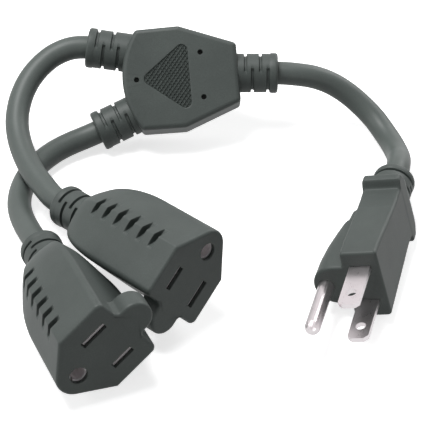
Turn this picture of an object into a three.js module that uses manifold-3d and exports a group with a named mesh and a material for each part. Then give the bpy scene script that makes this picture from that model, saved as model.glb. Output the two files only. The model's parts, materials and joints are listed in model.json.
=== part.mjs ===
// Power cord splitter: one grounded 15 A plug, a moulded Y hub and two grounded outlets on short cords.
// Millimetres, +Z up, the part lies on the plane z = 0.
// Each rigid piece is drawn in a frame of its own. A connector's frame has z out of its face, y away
// from the ground pin and x to the right, with its origin midway between the blades or slots. The hub's
// frame has x towards the plug's cord, y up its face and z out of its textured face.

import * as THREE from "three";
import { mergeVertices } from "three/addons/utils/BufferGeometryUtils.js";
import Module from "manifold-3d";

const wasm = await Module();
wasm.setup();

// Fits
const GAP = 0.3; // clearance between two pieces that touch on the real object
const OVERCUT = 1; // how far a cutter runs past the face that it opens

// Cords: round three-core jacket, one wire for each core
const CORD_DIAMETER = 7.6;
const CORD_SIDES = 10;
const CORD_STEP = 6.5; // length of one straight facet along a cord
const WIRE_DIAMETER = 2;
const WIRE_SIDES = 8;
const WIRE_SPREAD = 1.9; // distance of each core from the cord's middle
const CHAMBER_END = 10.4; // width of a connector's wire space where it meets the jacket
const FLAT_SPREAD = 2.45; // the same where the cores lie side by side in the hub

// Standard 15 A three-pin layout
const BLADE_PITCH = 12.7; // between the middles of the two blades
const GROUND_DROP = 11.9; // from the blades' middle down to the ground pin
const BLADE_WIDTH = 6.35;
const BLADE_THICKNESS = 1.5;
const BLADE_LENGTH = 17.5; // outside the plug's face
const BLADE_HOLE = 3.2;
const BLADE_HOLE_FROM_TIP = 5.5;
const BLADE_TIP_CHAMFER = 1.3;
const GROUND_PIN_DIAMETER = 4.8;
const GROUND_PIN_LENGTH = 20.9; // outside the plug's face
const NEUTRAL_SLOT = [1.9, 8.7];
const LINE_SLOT = [1.9, 7.4];
const GROUND_HOLE = 5.3;

// Strain reliefs: a ribbed sleeve round each cord where it enters a moulding
const RELIEF_DIAMETER = 12.8;
const RELIEF_COLLAR = 13.2; // diameter of the plain collar at the sleeve's end
const RELIEF_SLOT_WIDTH = 0.9;
const RELIEF_SLOT_FLOOR = 11; // diameter left inside a slot
const RELIEF_SLOT_SPAN = 190; // degrees round the sleeve
// Length of the sleeve, and its slots' places from its root, in turn on either side
const LONG_RELIEF = { length: 13, slots: [2.4, 4.7, 7.3, 9.8] };
const SHORT_RELIEF = { length: 9.8, slots: [2.3, 4.6, 6.9] };
const RELIEF_SIDES = 20;

// Outlet
const OUTLET_HALF_WIDTH = 13;
const OUTLET_TOP = 8.4;
const OUTLET_SHOULDER = -7.8; // where the straight side turns in to the ground end
const OUTLET_END_RADIUS = 6.1; // round ground end
const OUTLET_END_CENTRE = -12.7;
const OUTLET_CORNER = 2;
const OUTLET_LENGTH = 45; // face to the root of the strain relief
const OUTLET_FULL_LENGTH = 24; // length that keeps the face's full section
const OUTLET_NECK = 15; // diameter at the root of the strain relief
const OUTLET_AXIS = -2.5; // height of the cord's axis in the outlet's frame
const OUTLET_WALL = 2.6; // round the contact carrier
const OUTLET_FACE_WALL = 1.2; // front wall, in front of the contacts
const EAR_HALF_WIDTH = 5.2;
const EAR_CENTRE = 11.1;
const EAR_DEPTH = 7.5;
const EAR_FILLET = 1.6;
const GROOVES = 6;
const GROOVE_FIRST = 9; // behind the face
const GROOVE_PITCH = 5.3;
const GROOVE_WIDTH = 1.9;
const GROOVE_DEPTH = 2.2;
const GROOVE_RADIUS = 11;
const CARRIER_LENGTH = 20;
const CONTACT_LENGTH = 18;
const CONTACT_HEIGHT = 8.4;
const CONTACT_LEAF = 0.7;
const CONTACT_MOUTH = 0.6; // between the leaves before a blade spreads them
const GROUND_TUBE_INNER = 4.6;
const GROUND_TUBE_WALL = 0.8;
const GROUND_TUBE_SLIT = 0.9;

// Plug
const PLUG_HALF_WIDTH = 12;
const PLUG_TOP = 5.8;
const PLUG_BOTTOM = -5.6;
const PLUG_CORNER = 1.2;
const PLUG_WING_HALF_WIDTH = 12.2;
const PLUG_REAR_TOP = 6.1;
const PLUG_BUMP_HALF_WIDTH = 6.9; // D-shaped boss round the ground pin
const PLUG_BUMP_BOTTOM = -15.8;
const PLUG_LENGTH = 42.5; // face to the root of the strain relief
const PLUG_AXIS = -1.2;
const PLUG_FACE_WALL = 3;
const PLUG_BLOCK_LENGTH = 10;
const BLADE_TAIL = 10.5; // length of a blade behind the face
const GROUND_TAIL = 8; // length of the ground pin behind the face
const GROUND_WIRE_DROP = 10.5; // the ground wire leaves the pin's end a little above its middle

// Hub
const HUB_THICKNESS = 14.6;
const HUB_BEVEL = 1.3;
const HUB_RIGHT = 18.4;
const HUB_RIGHT_HALF_HEIGHT = 9.7;
const HUB_APEX = 16.8;
const HUB_LEFT_CORNER = [-14.2, 16.6];
const HUB_LEFT = -19.6;
const HUB_CORE = { left: -3, right: 8, halfHeight: 8.4, halfThickness: 4.7 };
const HUB_CORE_CORNER = 1.5;
const SPLICE_PITCH = 5.2;
const SPLICE_BORE = [2.8, 5.3]; // across and through the hub
const SPLICE_WALL = 0.5;
const SPLICE_LENGTH = 8;
const PIN_HOLE = 1.7;
const PIN_HOLE_DEPTH = 2.4;
const PIN_HOLES = [[6.5, 7.4], [6.5, -7.4], [-14.9, 0]];
const PANEL = [[-13.6, 0], [2.4, 12.4], [2.4, -12.4]]; // corners of the sunk textured triangle
const PANEL_CORNER = 1.9;
const PANEL_DEPTH = 0.5;
// Root of each sleeve on the hub's frame, the way that it points in degrees, and how far in its cord ends
const HUB_EXITS = {
  plug: { root: [18.4, 0.6], angle: -5, inset: 4 },
  upper: { root: [-17.6, 10.4], angle: 167, inset: 4 },
  lower: { root: [-17, -10.3], angle: 201, inset: 4 },
};

// Where each rigid piece lies: its origin on the plan, and its turn (heading of z from +x, nose-up
// pitch and roll round z, in degrees)
const PLUG_PLACE = { x: 63.2, y: -37.1, heading: -104.8, pitch: 1.1, roll: 74.6 };
const OUTLET_1_PLACE = { x: -11, y: -68.3, heading: -68.4, pitch: 7.2, roll: 52 };
const OUTLET_2_PLACE = { x: 10.6, y: -42.1, heading: -47, pitch: 6.9, roll: 233 };
const HUB_PLACE = { x: 8.4, y: 58.9, heading: -90, pitch: 45, roll: -4.9 };

// Middle points of the cords' routes, between the straight ends that leave the mouldings
const PLUG_CORD_POINTS = [
  [45.6, 60.5, 19.3],
  [51.6, 60.9, 17.9],
  [57.4, 61, 15.3],
  [62.8, 59.9, 12.1],
  [67.6, 57.4, 8.9],
  [71.8, 53.6, 6.2],
  [74.7, 48.9, 4.5],
  [76.8, 43.6, 4.1],
  [78, 37.8, 4.9],
  [78.3, 31.8, 7.1],
  [77.8, 25.6, 10],
  [76.9, 19.6, 12],
];
const UPPER_CORD_POINTS = [
  [-28.6, 65.9, 25.8],
  [-34, 63.6, 24.6],
  [-38.4, 59.9, 22.7],
  [-41.7, 55.3, 20.6],
  [-43.8, 50.1, 18.4],
  [-44.8, 44.6, 16.4],
  [-44.8, 39.1, 14.7],
  [-43.8, 33.4, 13.3],
  [-42.1, 27.6, 12.4],
  [-39.9, 21.9, 11.9],
  [-37.3, 16.3, 11.7],
  [-34.3, 10.9, 11.7],
  [-31.2, 5.7, 11.9],
];
const LOWER_CORD_POINTS = [
  [-24.1, 44.7, 4.9],
  [-28.6, 42.2, 4.4],
  [-32.6, 39.1, 4.1],
  [-36, 35.3, 3.95],
  [-38.8, 31, 3.9],
  [-40.9, 26.3, 3.9],
  [-42.2, 21.4, 3.95],
  [-42.8, 16.3, 4.1],
  [-42.7, 11.2, 4.4],
  [-41.8, 6, 5],
  [-40.3, 0.8, 5.8],
  [-38.4, -4.5, 6.9],
  [-36.3, -10, 8.3],
];

// Materials
function surface(name, color, roughness, metalness = 0) {
  return new THREE.MeshStandardMaterial({ name, color, roughness, metalness });
}

const PVC = surface("charcoal PVC", 0x4a514e, 0.55);
const JACKET = surface("charcoal cord jacket", 0x515855, 0.5);
const CORE = surface("inner moulding", 0x3a3f3d, 0.6);
const NICKEL = surface("nickel-plated brass", 0xe1dcde, 0.25, 1);
const BRASS = surface("tinned contact brass", 0xd8cdd2, 0.3, 1);
const BLACK_WIRE = surface("black wire", 0x1c1c1e, 0.5);
const WHITE_WIRE = surface("white wire", 0xe6e4de, 0.5);
const GREEN_WIRE = surface("green wire", 0x2f7d4a, 0.5);
const CORES = [
  { name: "line", material: BLACK_WIRE },
  { name: "neutral", material: WHITE_WIRE },
  { name: "ground", material: GREEN_WIRE },
];

// Solids

function solidOf(geometry) {
  const bare = geometry.clone();
  bare.deleteAttribute("normal");
  bare.deleteAttribute("uv");
  const merged = mergeVertices(bare, 1e-4);
  return new wasm.Manifold(new wasm.Mesh({
    numProp: 3,
    vertProperties: new Float32Array(merged.attributes.position.array),
    triVerts: new Uint32Array(merged.index.array),
  }));
}

function geometryOf(solid) {
  const mesh = solid.getMesh();
  const geometry = new THREE.BufferGeometry();
  geometry.setAttribute("position", new THREE.BufferAttribute(new Float32Array(mesh.vertProperties), 3));
  geometry.setIndex(new THREE.BufferAttribute(new Uint32Array(mesh.triVerts), 1));
  const flat = geometry.toNonIndexed();
  flat.computeVertexNormals();
  return flat;
}

// One geometry cut by a list of others, after others are joined to it
function build(base, joined, cut) {
  let solid = solidOf(base);
  for (const geometry of joined) {
    solid = solid.add(solidOf(geometry));
  }
  for (const geometry of cut) {
    solid = solid.subtract(solidOf(geometry));
  }
  return geometryOf(solid);
}

function meshOf(name, geometry, material) {
  const mesh = new THREE.Mesh(geometry, material);
  mesh.name = name;
  return mesh;
}

// A prism along z between two heights
function prism(shape, low, high, curveSegments = 4) {
  const options = { depth: high - low, bevelEnabled: false, curveSegments };
  return new THREE.ExtrudeGeometry(shape, options).translate(0, 0, low);
}

function boxBetween(low, high) {
  const size = high.map((value, axis) => value - low[axis]);
  const geometry = new THREE.BoxGeometry(...size);
  return geometry.translate(...low.map((value, axis) => value + size[axis] / 2));
}

// A round bar along z between two heights
function bar(diameter, low, high, x = 0, y = 0, sides = 16) {
  const geometry = new THREE.CylinderGeometry(diameter / 2, diameter / 2, high - low, sides);
  return geometry.rotateX(Math.PI / 2).translate(x, y, (low + high) / 2);
}

// A prism whose outline changes along z. Each level gives its z, its blend from the outline (0) to a
// circle round the axis (1), and an optional function that moves a point of the outline.
function loft(shape, levels, circle, curveSegments = 3) {
  const steps = levels.length - 1;
  const options = { depth: steps, steps, bevelEnabled: false, curveSegments };
  const geometry = new THREE.ExtrudeGeometry(shape, options);
  const position = geometry.attributes.position;
  for (let i = 0; i < position.count; i += 1) {
    const level = levels[Math.round(position.getZ(i))];
    const start = new THREE.Vector2(position.getX(i), position.getY(i));
    const point = level.move ? level.move(start) : start;
    const axis = new THREE.Vector2(0, circle.y);
    const round = point.clone().sub(axis).setLength(circle.radius).add(axis);
    point.lerp(round, level.blend);
    position.setXYZ(i, point.x, point.y, level.z);
  }
  geometry.computeVertexNormals();
  return geometry;
}

// A tube of round section along a curve
function tube(curve, diameter, sides, steps) {
  const section = new THREE.Shape();
  for (let i = 0; i < sides; i += 1) {
    const angle = (2 * Math.PI * (i + 0.5)) / sides;
    const x = (diameter / 2) * Math.cos(angle);
    const y = (diameter / 2) * Math.sin(angle);
    if (i === 0) {
      section.moveTo(x, y);
    } else {
      section.lineTo(x, y);
    }
  }
  section.closePath();
  return new THREE.ExtrudeGeometry(section, { steps, bevelEnabled: false, extrudePath: curve });
}

// A polygon with each corner rounded to a radius
function roundedPolygon(points, radius) {
  const shape = new THREE.Shape();
  points.forEach((point, i) => {
    const corner = new THREE.Vector2(...point);
    const before = new THREE.Vector2(...points[(i + points.length - 1) % points.length]).sub(corner);
    const after = new THREE.Vector2(...points[(i + 1) % points.length]).sub(corner);
    const half = before.angleTo(after) / 2;
    const reach = radius / Math.tan(half);
    const start = corner.clone().add(before.setLength(reach));
    const end = corner.clone().add(after.setLength(reach));
    if (i === 0) {
      shape.moveTo(start.x, start.y);
    } else {
      shape.lineTo(start.x, start.y);
    }
    shape.quadraticCurveTo(corner.x, corner.y, end.x, end.y);
  });
  shape.closePath();
  return shape;
}

// A ring of square section with a slit, as a shape
function openRing(inner, outer, from, to) {
  const shape = new THREE.Shape();
  shape.absarc(0, 0, outer, from, to, false);
  shape.absarc(0, 0, inner, to, from, true);
  shape.closePath();
  return shape;
}

// Strain relief: a sleeve along -z from its root at z = 0

function reliefSleeve(relief, depth) {
  const root = RELIEF_DIAMETER / 2;
  const collar = RELIEF_COLLAR / 2;
  const bore = CORD_DIAMETER / 2 + GAP;
  const step = relief.slots.at(-1) + RELIEF_SLOT_WIDTH / 2 + 0.3;
  const profile = [
    new THREE.Vector2(bore, -depth),
    new THREE.Vector2(root, -depth),
    new THREE.Vector2(root, step),
    new THREE.Vector2(collar, step + 0.3),
    new THREE.Vector2(collar, relief.length - 0.7),
    new THREE.Vector2(collar - 0.7, relief.length),
    new THREE.Vector2(bore, relief.length),
    new THREE.Vector2(bore, -depth),
  ];
  return new THREE.LatheGeometry(profile, RELIEF_SIDES).rotateX(-Math.PI / 2);
}

function reliefSlots(relief, turn) {
  const half = THREE.MathUtils.degToRad(RELIEF_SLOT_SPAN / 2);
  return relief.slots.map((place, i) => {
    const middle = THREE.MathUtils.degToRad(turn) + (i % 2) * Math.PI;
    const shape = openRing(RELIEF_SLOT_FLOOR / 2, RELIEF_COLLAR / 2 + OVERCUT, middle - half, middle + half);
    return prism(shape, -place - RELIEF_SLOT_WIDTH / 2, -place + RELIEF_SLOT_WIDTH / 2, 4);
  });
}

// Outlet

// The face's outline, moved in by an inset
function outletOutline(inset) {
  const width = OUTLET_HALF_WIDTH - inset;
  const top = OUTLET_TOP - inset;
  const radius = OUTLET_END_RADIUS - inset;
  const corner = Math.max(OUTLET_CORNER - inset, 0.5);
  const shoulder = new THREE.Vector2(width, OUTLET_SHOULDER - OUTLET_END_CENTRE + inset * 0.4);
  const tangent = shoulder.angle() - Math.acos(radius / shoulder.length());
  const shape = new THREE.Shape();
  shape.absarc(0, OUTLET_END_CENTRE, radius, Math.PI - tangent, 2 * Math.PI + tangent, false);
  shape.lineTo(width, OUTLET_END_CENTRE + shoulder.y);
  shape.absarc(width - corner, top - corner, corner, 0, Math.PI / 2, false);
  shape.absarc(-width + corner, top - corner, corner, Math.PI / 2, Math.PI, false);
  shape.lineTo(-width, OUTLET_END_CENTRE + shoulder.y);
  shape.closePath();
  return shape;
}

// How far the outlet's outline has turned into the neck's circle, at a distance behind the face
function outletBlend(behind) {
  const share = Math.max(0, behind - OUTLET_FULL_LENGTH) / (OUTLET_LENGTH - OUTLET_FULL_LENGTH);
  return 1 - Math.sqrt(1 - 0.96 * share * share);
}

function outletBody() {
  const turns = [1, 0.9, 0.76, 0.6, 0.41, 0.21, 0];
  const places = turns.map((share) => THREE.MathUtils.lerp(OUTLET_FULL_LENGTH, OUTLET_LENGTH, share));
  const levels = [...places, 0].map((behind) => ({ z: -behind, blend: outletBlend(behind) }));
  return loft(outletOutline(0), levels, { y: OUTLET_AXIS, radius: OUTLET_NECK / 2 });
}

function outletEar() {
  const w = EAR_HALF_WIDTH;
  const root = OUTLET_TOP - 1.5;
  const shape = new THREE.Shape();
  shape.moveTo(-w - EAR_FILLET, root);
  shape.lineTo(w + EAR_FILLET, root);
  shape.lineTo(w + EAR_FILLET, OUTLET_TOP);
  shape.quadraticCurveTo(w, OUTLET_TOP, w, OUTLET_TOP + EAR_FILLET);
  shape.absarc(0, EAR_CENTRE, w, 0, Math.PI, false);
  shape.lineTo(-w, OUTLET_TOP + EAR_FILLET);
  shape.quadraticCurveTo(-w, OUTLET_TOP, -w - EAR_FILLET, OUTLET_TOP);
  shape.closePath();
  return prism(shape, -EAR_DEPTH, 0, 5);
}

// Crescent grip grooves: thin discs that bite into the edge between the side and the ground end
function outletGrooves() {
  const cutters = [];
  for (const side of [-1, 1]) {
    for (let i = 0; i < GROOVES; i += 1) {
      const behind = GROOVE_FIRST + i * GROOVE_PITCH;
      const edge = new THREE.Vector2(OUTLET_HALF_WIDTH, OUTLET_SHOULDER - OUTLET_AXIS);
      const round = edge.clone().setLength(OUTLET_NECK / 2);
      edge.lerp(round, outletBlend(behind));
      const out = new THREE.Vector2(0.93, -0.37);
      const centre = edge.add(out.multiplyScalar(GROOVE_RADIUS - GROOVE_DEPTH));
      const x = side * centre.x;
      const y = centre.y + OUTLET_AXIS;
      cutters.push(bar(2 * GROOVE_RADIUS, -behind - GROOVE_WIDTH / 2, -behind + GROOVE_WIDTH / 2, x, y, 20));
    }
  }
  return cutters;
}

function slotCutter(size, x, depth) {
  return boxBetween([x - size[0] / 2, -size[1] / 2, -depth], [x + size[0] / 2, size[1] / 2, OVERCUT]);
}

const CARRIER_FRONT = -OUTLET_FACE_WALL - GAP;
const CARRIER_BACK = CARRIER_FRONT - CARRIER_LENGTH;
const OUTLET_CORD_END = -OUTLET_LENGTH + 6; // the jacket ends here, inside the neck

function outletCavity() {
  const pocket = prism(outletOutline(OUTLET_WALL), CARRIER_BACK - GAP, -OUTLET_FACE_WALL, 3);
  const chamberLevels = [[1, 1], [0.35, 0.45], [0, 0]].map(([share, blend]) => ({
    z: THREE.MathUtils.lerp(CARRIER_BACK, OUTLET_CORD_END, share),
    blend,
  }));
  const chamber = loft(outletOutline(3.6), chamberLevels, { y: OUTLET_AXIS, radius: CHAMBER_END / 2 }, 2);
  const width = CORD_DIAMETER + 2 * GAP;
  const bore = bar(width, -OUTLET_LENGTH - OVERCUT, OUTLET_CORD_END + 0.2, 0, OUTLET_AXIS, RELIEF_SIDES);
  return [
    pocket,
    chamber,
    bore,
    slotCutter(NEUTRAL_SLOT, -BLADE_PITCH / 2, OUTLET_FACE_WALL + GAP),
    slotCutter(LINE_SLOT, BLADE_PITCH / 2, OUTLET_FACE_WALL + GAP),
    bar(GROUND_HOLE, -OUTLET_FACE_WALL - GAP, OVERCUT, 0, -GROUND_DROP, 20),
  ];
}

function outletOvermould() {
  const sleeve = reliefSleeve(LONG_RELIEF, 2).translate(0, OUTLET_AXIS, -OUTLET_LENGTH);
  const slots = reliefSlots(LONG_RELIEF, 90).map((slot) => slot.translate(0, OUTLET_AXIS, -OUTLET_LENGTH));
  return build(outletBody(), [outletEar(), sleeve], [...outletCavity(), ...outletGrooves(), ...slots]);
}

const CONTACT_POCKET = [2 * CONTACT_LEAF + CONTACT_MOUTH + 2 * GAP, CONTACT_HEIGHT + 2 * GAP];
const TUBE_OUTER = GROUND_TUBE_INNER + 2 * GROUND_TUBE_WALL;

function contactCarrier() {
  const body = prism(outletOutline(OUTLET_WALL + GAP), CARRIER_BACK, CARRIER_FRONT, 3);
  const cutters = [-1, 1].map((side) => {
    const x = (side * BLADE_PITCH) / 2;
    const w = CONTACT_POCKET[0] / 2;
    const h = CONTACT_POCKET[1] / 2;
    return boxBetween([x - w, -h, CARRIER_BACK - OVERCUT], [x + w, h, CARRIER_FRONT + OVERCUT]);
  });
  const tube = TUBE_OUTER + 2 * GAP;
  cutters.push(bar(tube, CARRIER_BACK - OVERCUT, CARRIER_FRONT + OVERCUT, 0, -GROUND_DROP, 20));
  return build(body, [], cutters);
}

// A folded clip: two leaves joined at the back, drawn across x and z and extruded along y
function bladeContact(x) {
  const inner = CONTACT_MOUTH / 2;
  const outer = inner + CONTACT_LEAF;
  const shape = new THREE.Shape();
  shape.moveTo(-outer, 0);
  shape.lineTo(-outer, -CONTACT_LENGTH);
  shape.lineTo(outer, -CONTACT_LENGTH);
  shape.lineTo(outer, 0);
  shape.lineTo(inner, 0);
  shape.lineTo(inner, -CONTACT_LENGTH + 1.5);
  shape.lineTo(-inner, -CONTACT_LENGTH + 1.5);
  shape.lineTo(-inner, 0);
  shape.closePath();
  const clip = prism(shape, -CONTACT_HEIGHT / 2, CONTACT_HEIGHT / 2);
  return clip.rotateX(Math.PI / 2).translate(x, 0, CARRIER_FRONT);
}

function groundContact() {
  const slit = GROUND_TUBE_SLIT / GROUND_TUBE_INNER;
  const shape = openRing(GROUND_TUBE_INNER / 2, TUBE_OUTER / 2, slit - Math.PI / 2, 1.5 * Math.PI - slit);
  return prism(shape, CARRIER_FRONT - CONTACT_LENGTH, CARRIER_FRONT, 8).translate(0, -GROUND_DROP, 0);
}

// A wire from behind a terminal to a core's place at the end of the cord
function wire(from, to, lead) {
  const start = new THREE.Vector3(...from);
  const end = new THREE.Vector3(...to);
  const curve = new THREE.CubicBezierCurve3(
    start,
    start.clone().add(new THREE.Vector3(...lead[0])),
    end.clone().add(new THREE.Vector3(...lead[1])),
    end,
  );
  return tube(curve, WIRE_DIAMETER, WIRE_SIDES, 6);
}

// Where each core of a cord ends: line and neutral side by side over the ground, each on the side of
// the terminal that it runs to
function connectorWires(prefix, terminals, cordEnd, axis) {
  return terminals.map((terminal, i) => {
    const side = Math.sign(terminal[0]);
    const rise = side === 0 ? -1 : 0.5;
    const end = [side * WIRE_SPREAD * 0.866, axis + rise * WIRE_SPREAD, cordEnd + GAP];
    const length = terminal[2] - end[2];
    const geometry = wire(terminal, end, [[0, 0, -length * 0.65], [0, 0, length * 0.35]]);
    return meshOf(`${prefix}_${CORES[i].name}_wire`, geometry, CORES[i].material);
  });
}

function outlet(number) {
  const prefix = `outlet_${number}`;
  const group = new THREE.Group();
  const back = CARRIER_FRONT - CONTACT_LENGTH - GAP;
  group.add(meshOf(`${prefix}_overmould`, outletOvermould(), PVC));
  group.add(meshOf(`${prefix}_contact_carrier`, contactCarrier(), CORE));
  group.add(meshOf(`${prefix}_line_contact`, bladeContact(BLADE_PITCH / 2), BRASS));
  group.add(meshOf(`${prefix}_neutral_contact`, bladeContact(-BLADE_PITCH / 2), BRASS));
  group.add(meshOf(`${prefix}_ground_contact`, groundContact(), BRASS));
  const terminals = [
    [BLADE_PITCH / 2, 0, back],
    [-BLADE_PITCH / 2, 0, back],
    [0, -GROUND_DROP, back],
  ];
  group.add(...connectorWires(prefix, terminals, OUTLET_CORD_END, OUTLET_AXIS));
  return group;
}

// Plug

function plugOutline() {
  const w = PLUG_HALF_WIDTH;
  const b = PLUG_BUMP_HALF_WIDTH;
  const c = PLUG_CORNER;
  const shape = new THREE.Shape();
  shape.moveTo(-w, PLUG_BOTTOM + c);
  shape.lineTo(-w + c, PLUG_BOTTOM);
  shape.lineTo(-b, PLUG_BOTTOM);
  shape.lineTo(-b, PLUG_BUMP_BOTTOM + b);
  shape.absarc(0, PLUG_BUMP_BOTTOM + b, b, Math.PI, 2 * Math.PI, false);
  shape.lineTo(b, PLUG_BOTTOM);
  shape.lineTo(w - c, PLUG_BOTTOM);
  shape.lineTo(w, PLUG_BOTTOM + c);
  shape.lineTo(w, PLUG_TOP - c);
  shape.lineTo(w - c, PLUG_TOP);
  shape.lineTo(-w + c, PLUG_TOP);
  shape.lineTo(-w, PLUG_TOP - c);
  shape.closePath();
  return shape;
}

// Half width, top and ground-side depth of the plug at stations behind its face. The ground side steps
// down twice towards the cord, and the sides flare into finger wings before the strain relief.
const PLUG_STATIONS = [
  { behind: 0, width: PLUG_HALF_WIDTH, top: PLUG_TOP, body: PLUG_BOTTOM, bump: PLUG_BUMP_BOTTOM },
  { behind: 8, width: 11.4, top: PLUG_TOP, body: -5.8, bump: -15.6 },
  { behind: 15, width: 10.6, top: 5.9, body: -5.9, bump: -14.8 },
  { behind: 21, width: 9.9, top: 6, body: -6, bump: -13.4 },
  { behind: 25.4, width: 9.5, top: 6, body: -6, bump: -12.2 },
  { behind: 26, width: 9.4, top: 6, body: -6, bump: -11 },
  { behind: 30.4, width: 9.2, top: 6, body: -6, bump: -10.4 },
  { behind: 31, width: 9.2, top: 6, body: -6, bump: -8 },
  { behind: PLUG_LENGTH - 7.6, width: 9.4, top: 6, body: -6, bump: -7.8 },
  { behind: PLUG_LENGTH - 6.6, width: PLUG_WING_HALF_WIDTH, top: PLUG_REAR_TOP, body: -6, bump: -7.6 },
  { behind: PLUG_LENGTH - 4, width: PLUG_WING_HALF_WIDTH, top: PLUG_REAR_TOP, body: -6, bump: -7.5 },
  { behind: PLUG_LENGTH - 2.3, width: 9.8, top: PLUG_REAR_TOP, body: -6.1, bump: -7.4 },
  { behind: PLUG_LENGTH, width: 7, top: 5.6, body: -6.2, bump: -6.9 },
];

function plugBody() {
  const levels = [...PLUG_STATIONS].reverse().map((station) => ({
    z: -station.behind,
    blend: 0,
    move: (point) => {
      const x = (point.x / PLUG_HALF_WIDTH) * station.width;
      const low = PLUG_BOTTOM;
      if (point.y > 0) {
        return new THREE.Vector2(x, (point.y / PLUG_TOP) * station.top);
      }
      if (point.y >= low) {
        return new THREE.Vector2(x, (point.y / low) * station.body);
      }
      const share = (point.y - low) / (PLUG_BUMP_BOTTOM - low);
      return new THREE.Vector2(x, station.body + share * (station.bump - station.body));
    },
  }));
  return loft(plugOutline(), levels, { y: 0, radius: 1 });
}

const PLUG_BLOCK_FRONT = -PLUG_FACE_WALL - GAP;
const PLUG_BLOCK_BACK = PLUG_BLOCK_FRONT - PLUG_BLOCK_LENGTH;
const PLUG_CORD_END = -PLUG_LENGTH + 8; // the jacket ends here, inside the plug

// A bar across both blades with a leg that saddles the ground pin
function plugBlockOutline(grow, leg) {
  const w = 9 + grow;
  const h = 4 + grow;
  const low = -GROUND_DROP + leg;
  return roundedPolygon([
    [-w, -h],
    [-leg - 1.5 - grow, -h],
    [-leg - 1.5 - grow, low - grow],
    [leg + 1.5 + grow, low - grow],
    [leg + 1.5 + grow, -h],
    [w, -h],
    [w, h],
    [-w, h],
  ], 0.6);
}

function bladeWays(low, high) {
  const w = BLADE_THICKNESS / 2 + GAP;
  const h = BLADE_WIDTH / 2 + GAP;
  return [-1, 1].map((side) => {
    const x = (side * BLADE_PITCH) / 2;
    return boxBetween([x - w, -h, low], [x + w, h, high]);
  });
}

function groundPinWays() {
  return [
    bar(GROUND_PIN_DIAMETER + 2 * GAP, -GROUND_TAIL - GAP, OVERCUT, 0, -GROUND_DROP, 20),
    bar(WIRE_DIAMETER + 2 * GAP, PLUG_BLOCK_BACK - OVERCUT, -GROUND_TAIL, 0, -GROUND_WIRE_DROP, 12),
  ];
}

// The space behind the block where the wires run in to the cord
function plugChamber() {
  const levels = [[1, 1], [0.63, 0.35], [0.31, 0.12], [0, 0]].map(([share, blend]) => ({
    z: THREE.MathUtils.lerp(PLUG_BLOCK_BACK, PLUG_CORD_END, share),
    blend,
  }));
  return loft(plugBlockOutline(-0.6, 0.1), levels, { y: PLUG_AXIS, radius: CHAMBER_END / 2 }, 2);
}

function plugOvermould() {
  const sleeve = reliefSleeve(SHORT_RELIEF, 2).translate(0, PLUG_AXIS, -PLUG_LENGTH);
  const slots = reliefSlots(SHORT_RELIEF, 180).map((cutter) => cutter.translate(0, PLUG_AXIS, -PLUG_LENGTH));
  const pocket = prism(plugBlockOutline(GAP, 2), PLUG_BLOCK_BACK - GAP, -PLUG_FACE_WALL, 2);
  const width = CORD_DIAMETER + 2 * GAP;
  const bore = bar(width, -PLUG_LENGTH - OVERCUT, PLUG_CORD_END + 0.2, 0, PLUG_AXIS, RELIEF_SIDES);
  const ways = [...bladeWays(-PLUG_FACE_WALL - GAP, OVERCUT), ...groundPinWays()];
  return build(plugBody(), [sleeve], [pocket, plugChamber(), bore, ...ways, ...slots]);
}

function plugBlock() {
  const body = prism(plugBlockOutline(0, 2), PLUG_BLOCK_BACK, PLUG_BLOCK_FRONT, 2);
  const wires = [-1, 1].map((side) => {
    const x = (side * BLADE_PITCH) / 2;
    return bar(WIRE_DIAMETER + 2 * GAP, PLUG_BLOCK_BACK - OVERCUT, -BLADE_TAIL, x, 0, 12);
  });
  return build(body, [], [...bladeWays(-BLADE_TAIL - GAP, OVERCUT), ...groundPinWays(), ...wires]);
}

function blade(x) {
  const half = BLADE_WIDTH / 2;
  const c = BLADE_TIP_CHAMFER;
  const shape = new THREE.Shape();
  shape.moveTo(-half, -BLADE_TAIL);
  shape.lineTo(half, -BLADE_TAIL);
  shape.lineTo(half, BLADE_LENGTH - c);
  shape.lineTo(half - c, BLADE_LENGTH);
  shape.lineTo(-half + c, BLADE_LENGTH);
  shape.lineTo(-half, BLADE_LENGTH - c);
  shape.closePath();
  const hole = new THREE.Path();
  hole.absarc(0, BLADE_LENGTH - BLADE_HOLE_FROM_TIP, BLADE_HOLE / 2, 0, 2 * Math.PI, true);
  shape.holes.push(hole);
  const flat = prism(shape, -BLADE_THICKNESS / 2, BLADE_THICKNESS / 2, 8);
  const upright = new THREE.Matrix4().makeBasis(
    new THREE.Vector3(0, 1, 0),
    new THREE.Vector3(0, 0, 1),
    new THREE.Vector3(1, 0, 0),
  );
  return flat.applyMatrix4(upright).translate(x, 0, 0);
}

function groundPin() {
  const r = GROUND_PIN_DIAMETER / 2;
  const profile = [
    new THREE.Vector2(0, -GROUND_TAIL),
    new THREE.Vector2(r, -GROUND_TAIL),
    new THREE.Vector2(r, GROUND_PIN_LENGTH - r),
    new THREE.Vector2(r * 0.92, GROUND_PIN_LENGTH - r * 0.6),
    new THREE.Vector2(r * 0.7, GROUND_PIN_LENGTH - r * 0.28),
    new THREE.Vector2(r * 0.38, GROUND_PIN_LENGTH - r * 0.07),
    new THREE.Vector2(0, GROUND_PIN_LENGTH),
  ];
  return new THREE.LatheGeometry(profile, 20).rotateX(Math.PI / 2).translate(0, -GROUND_DROP, 0);
}

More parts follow.
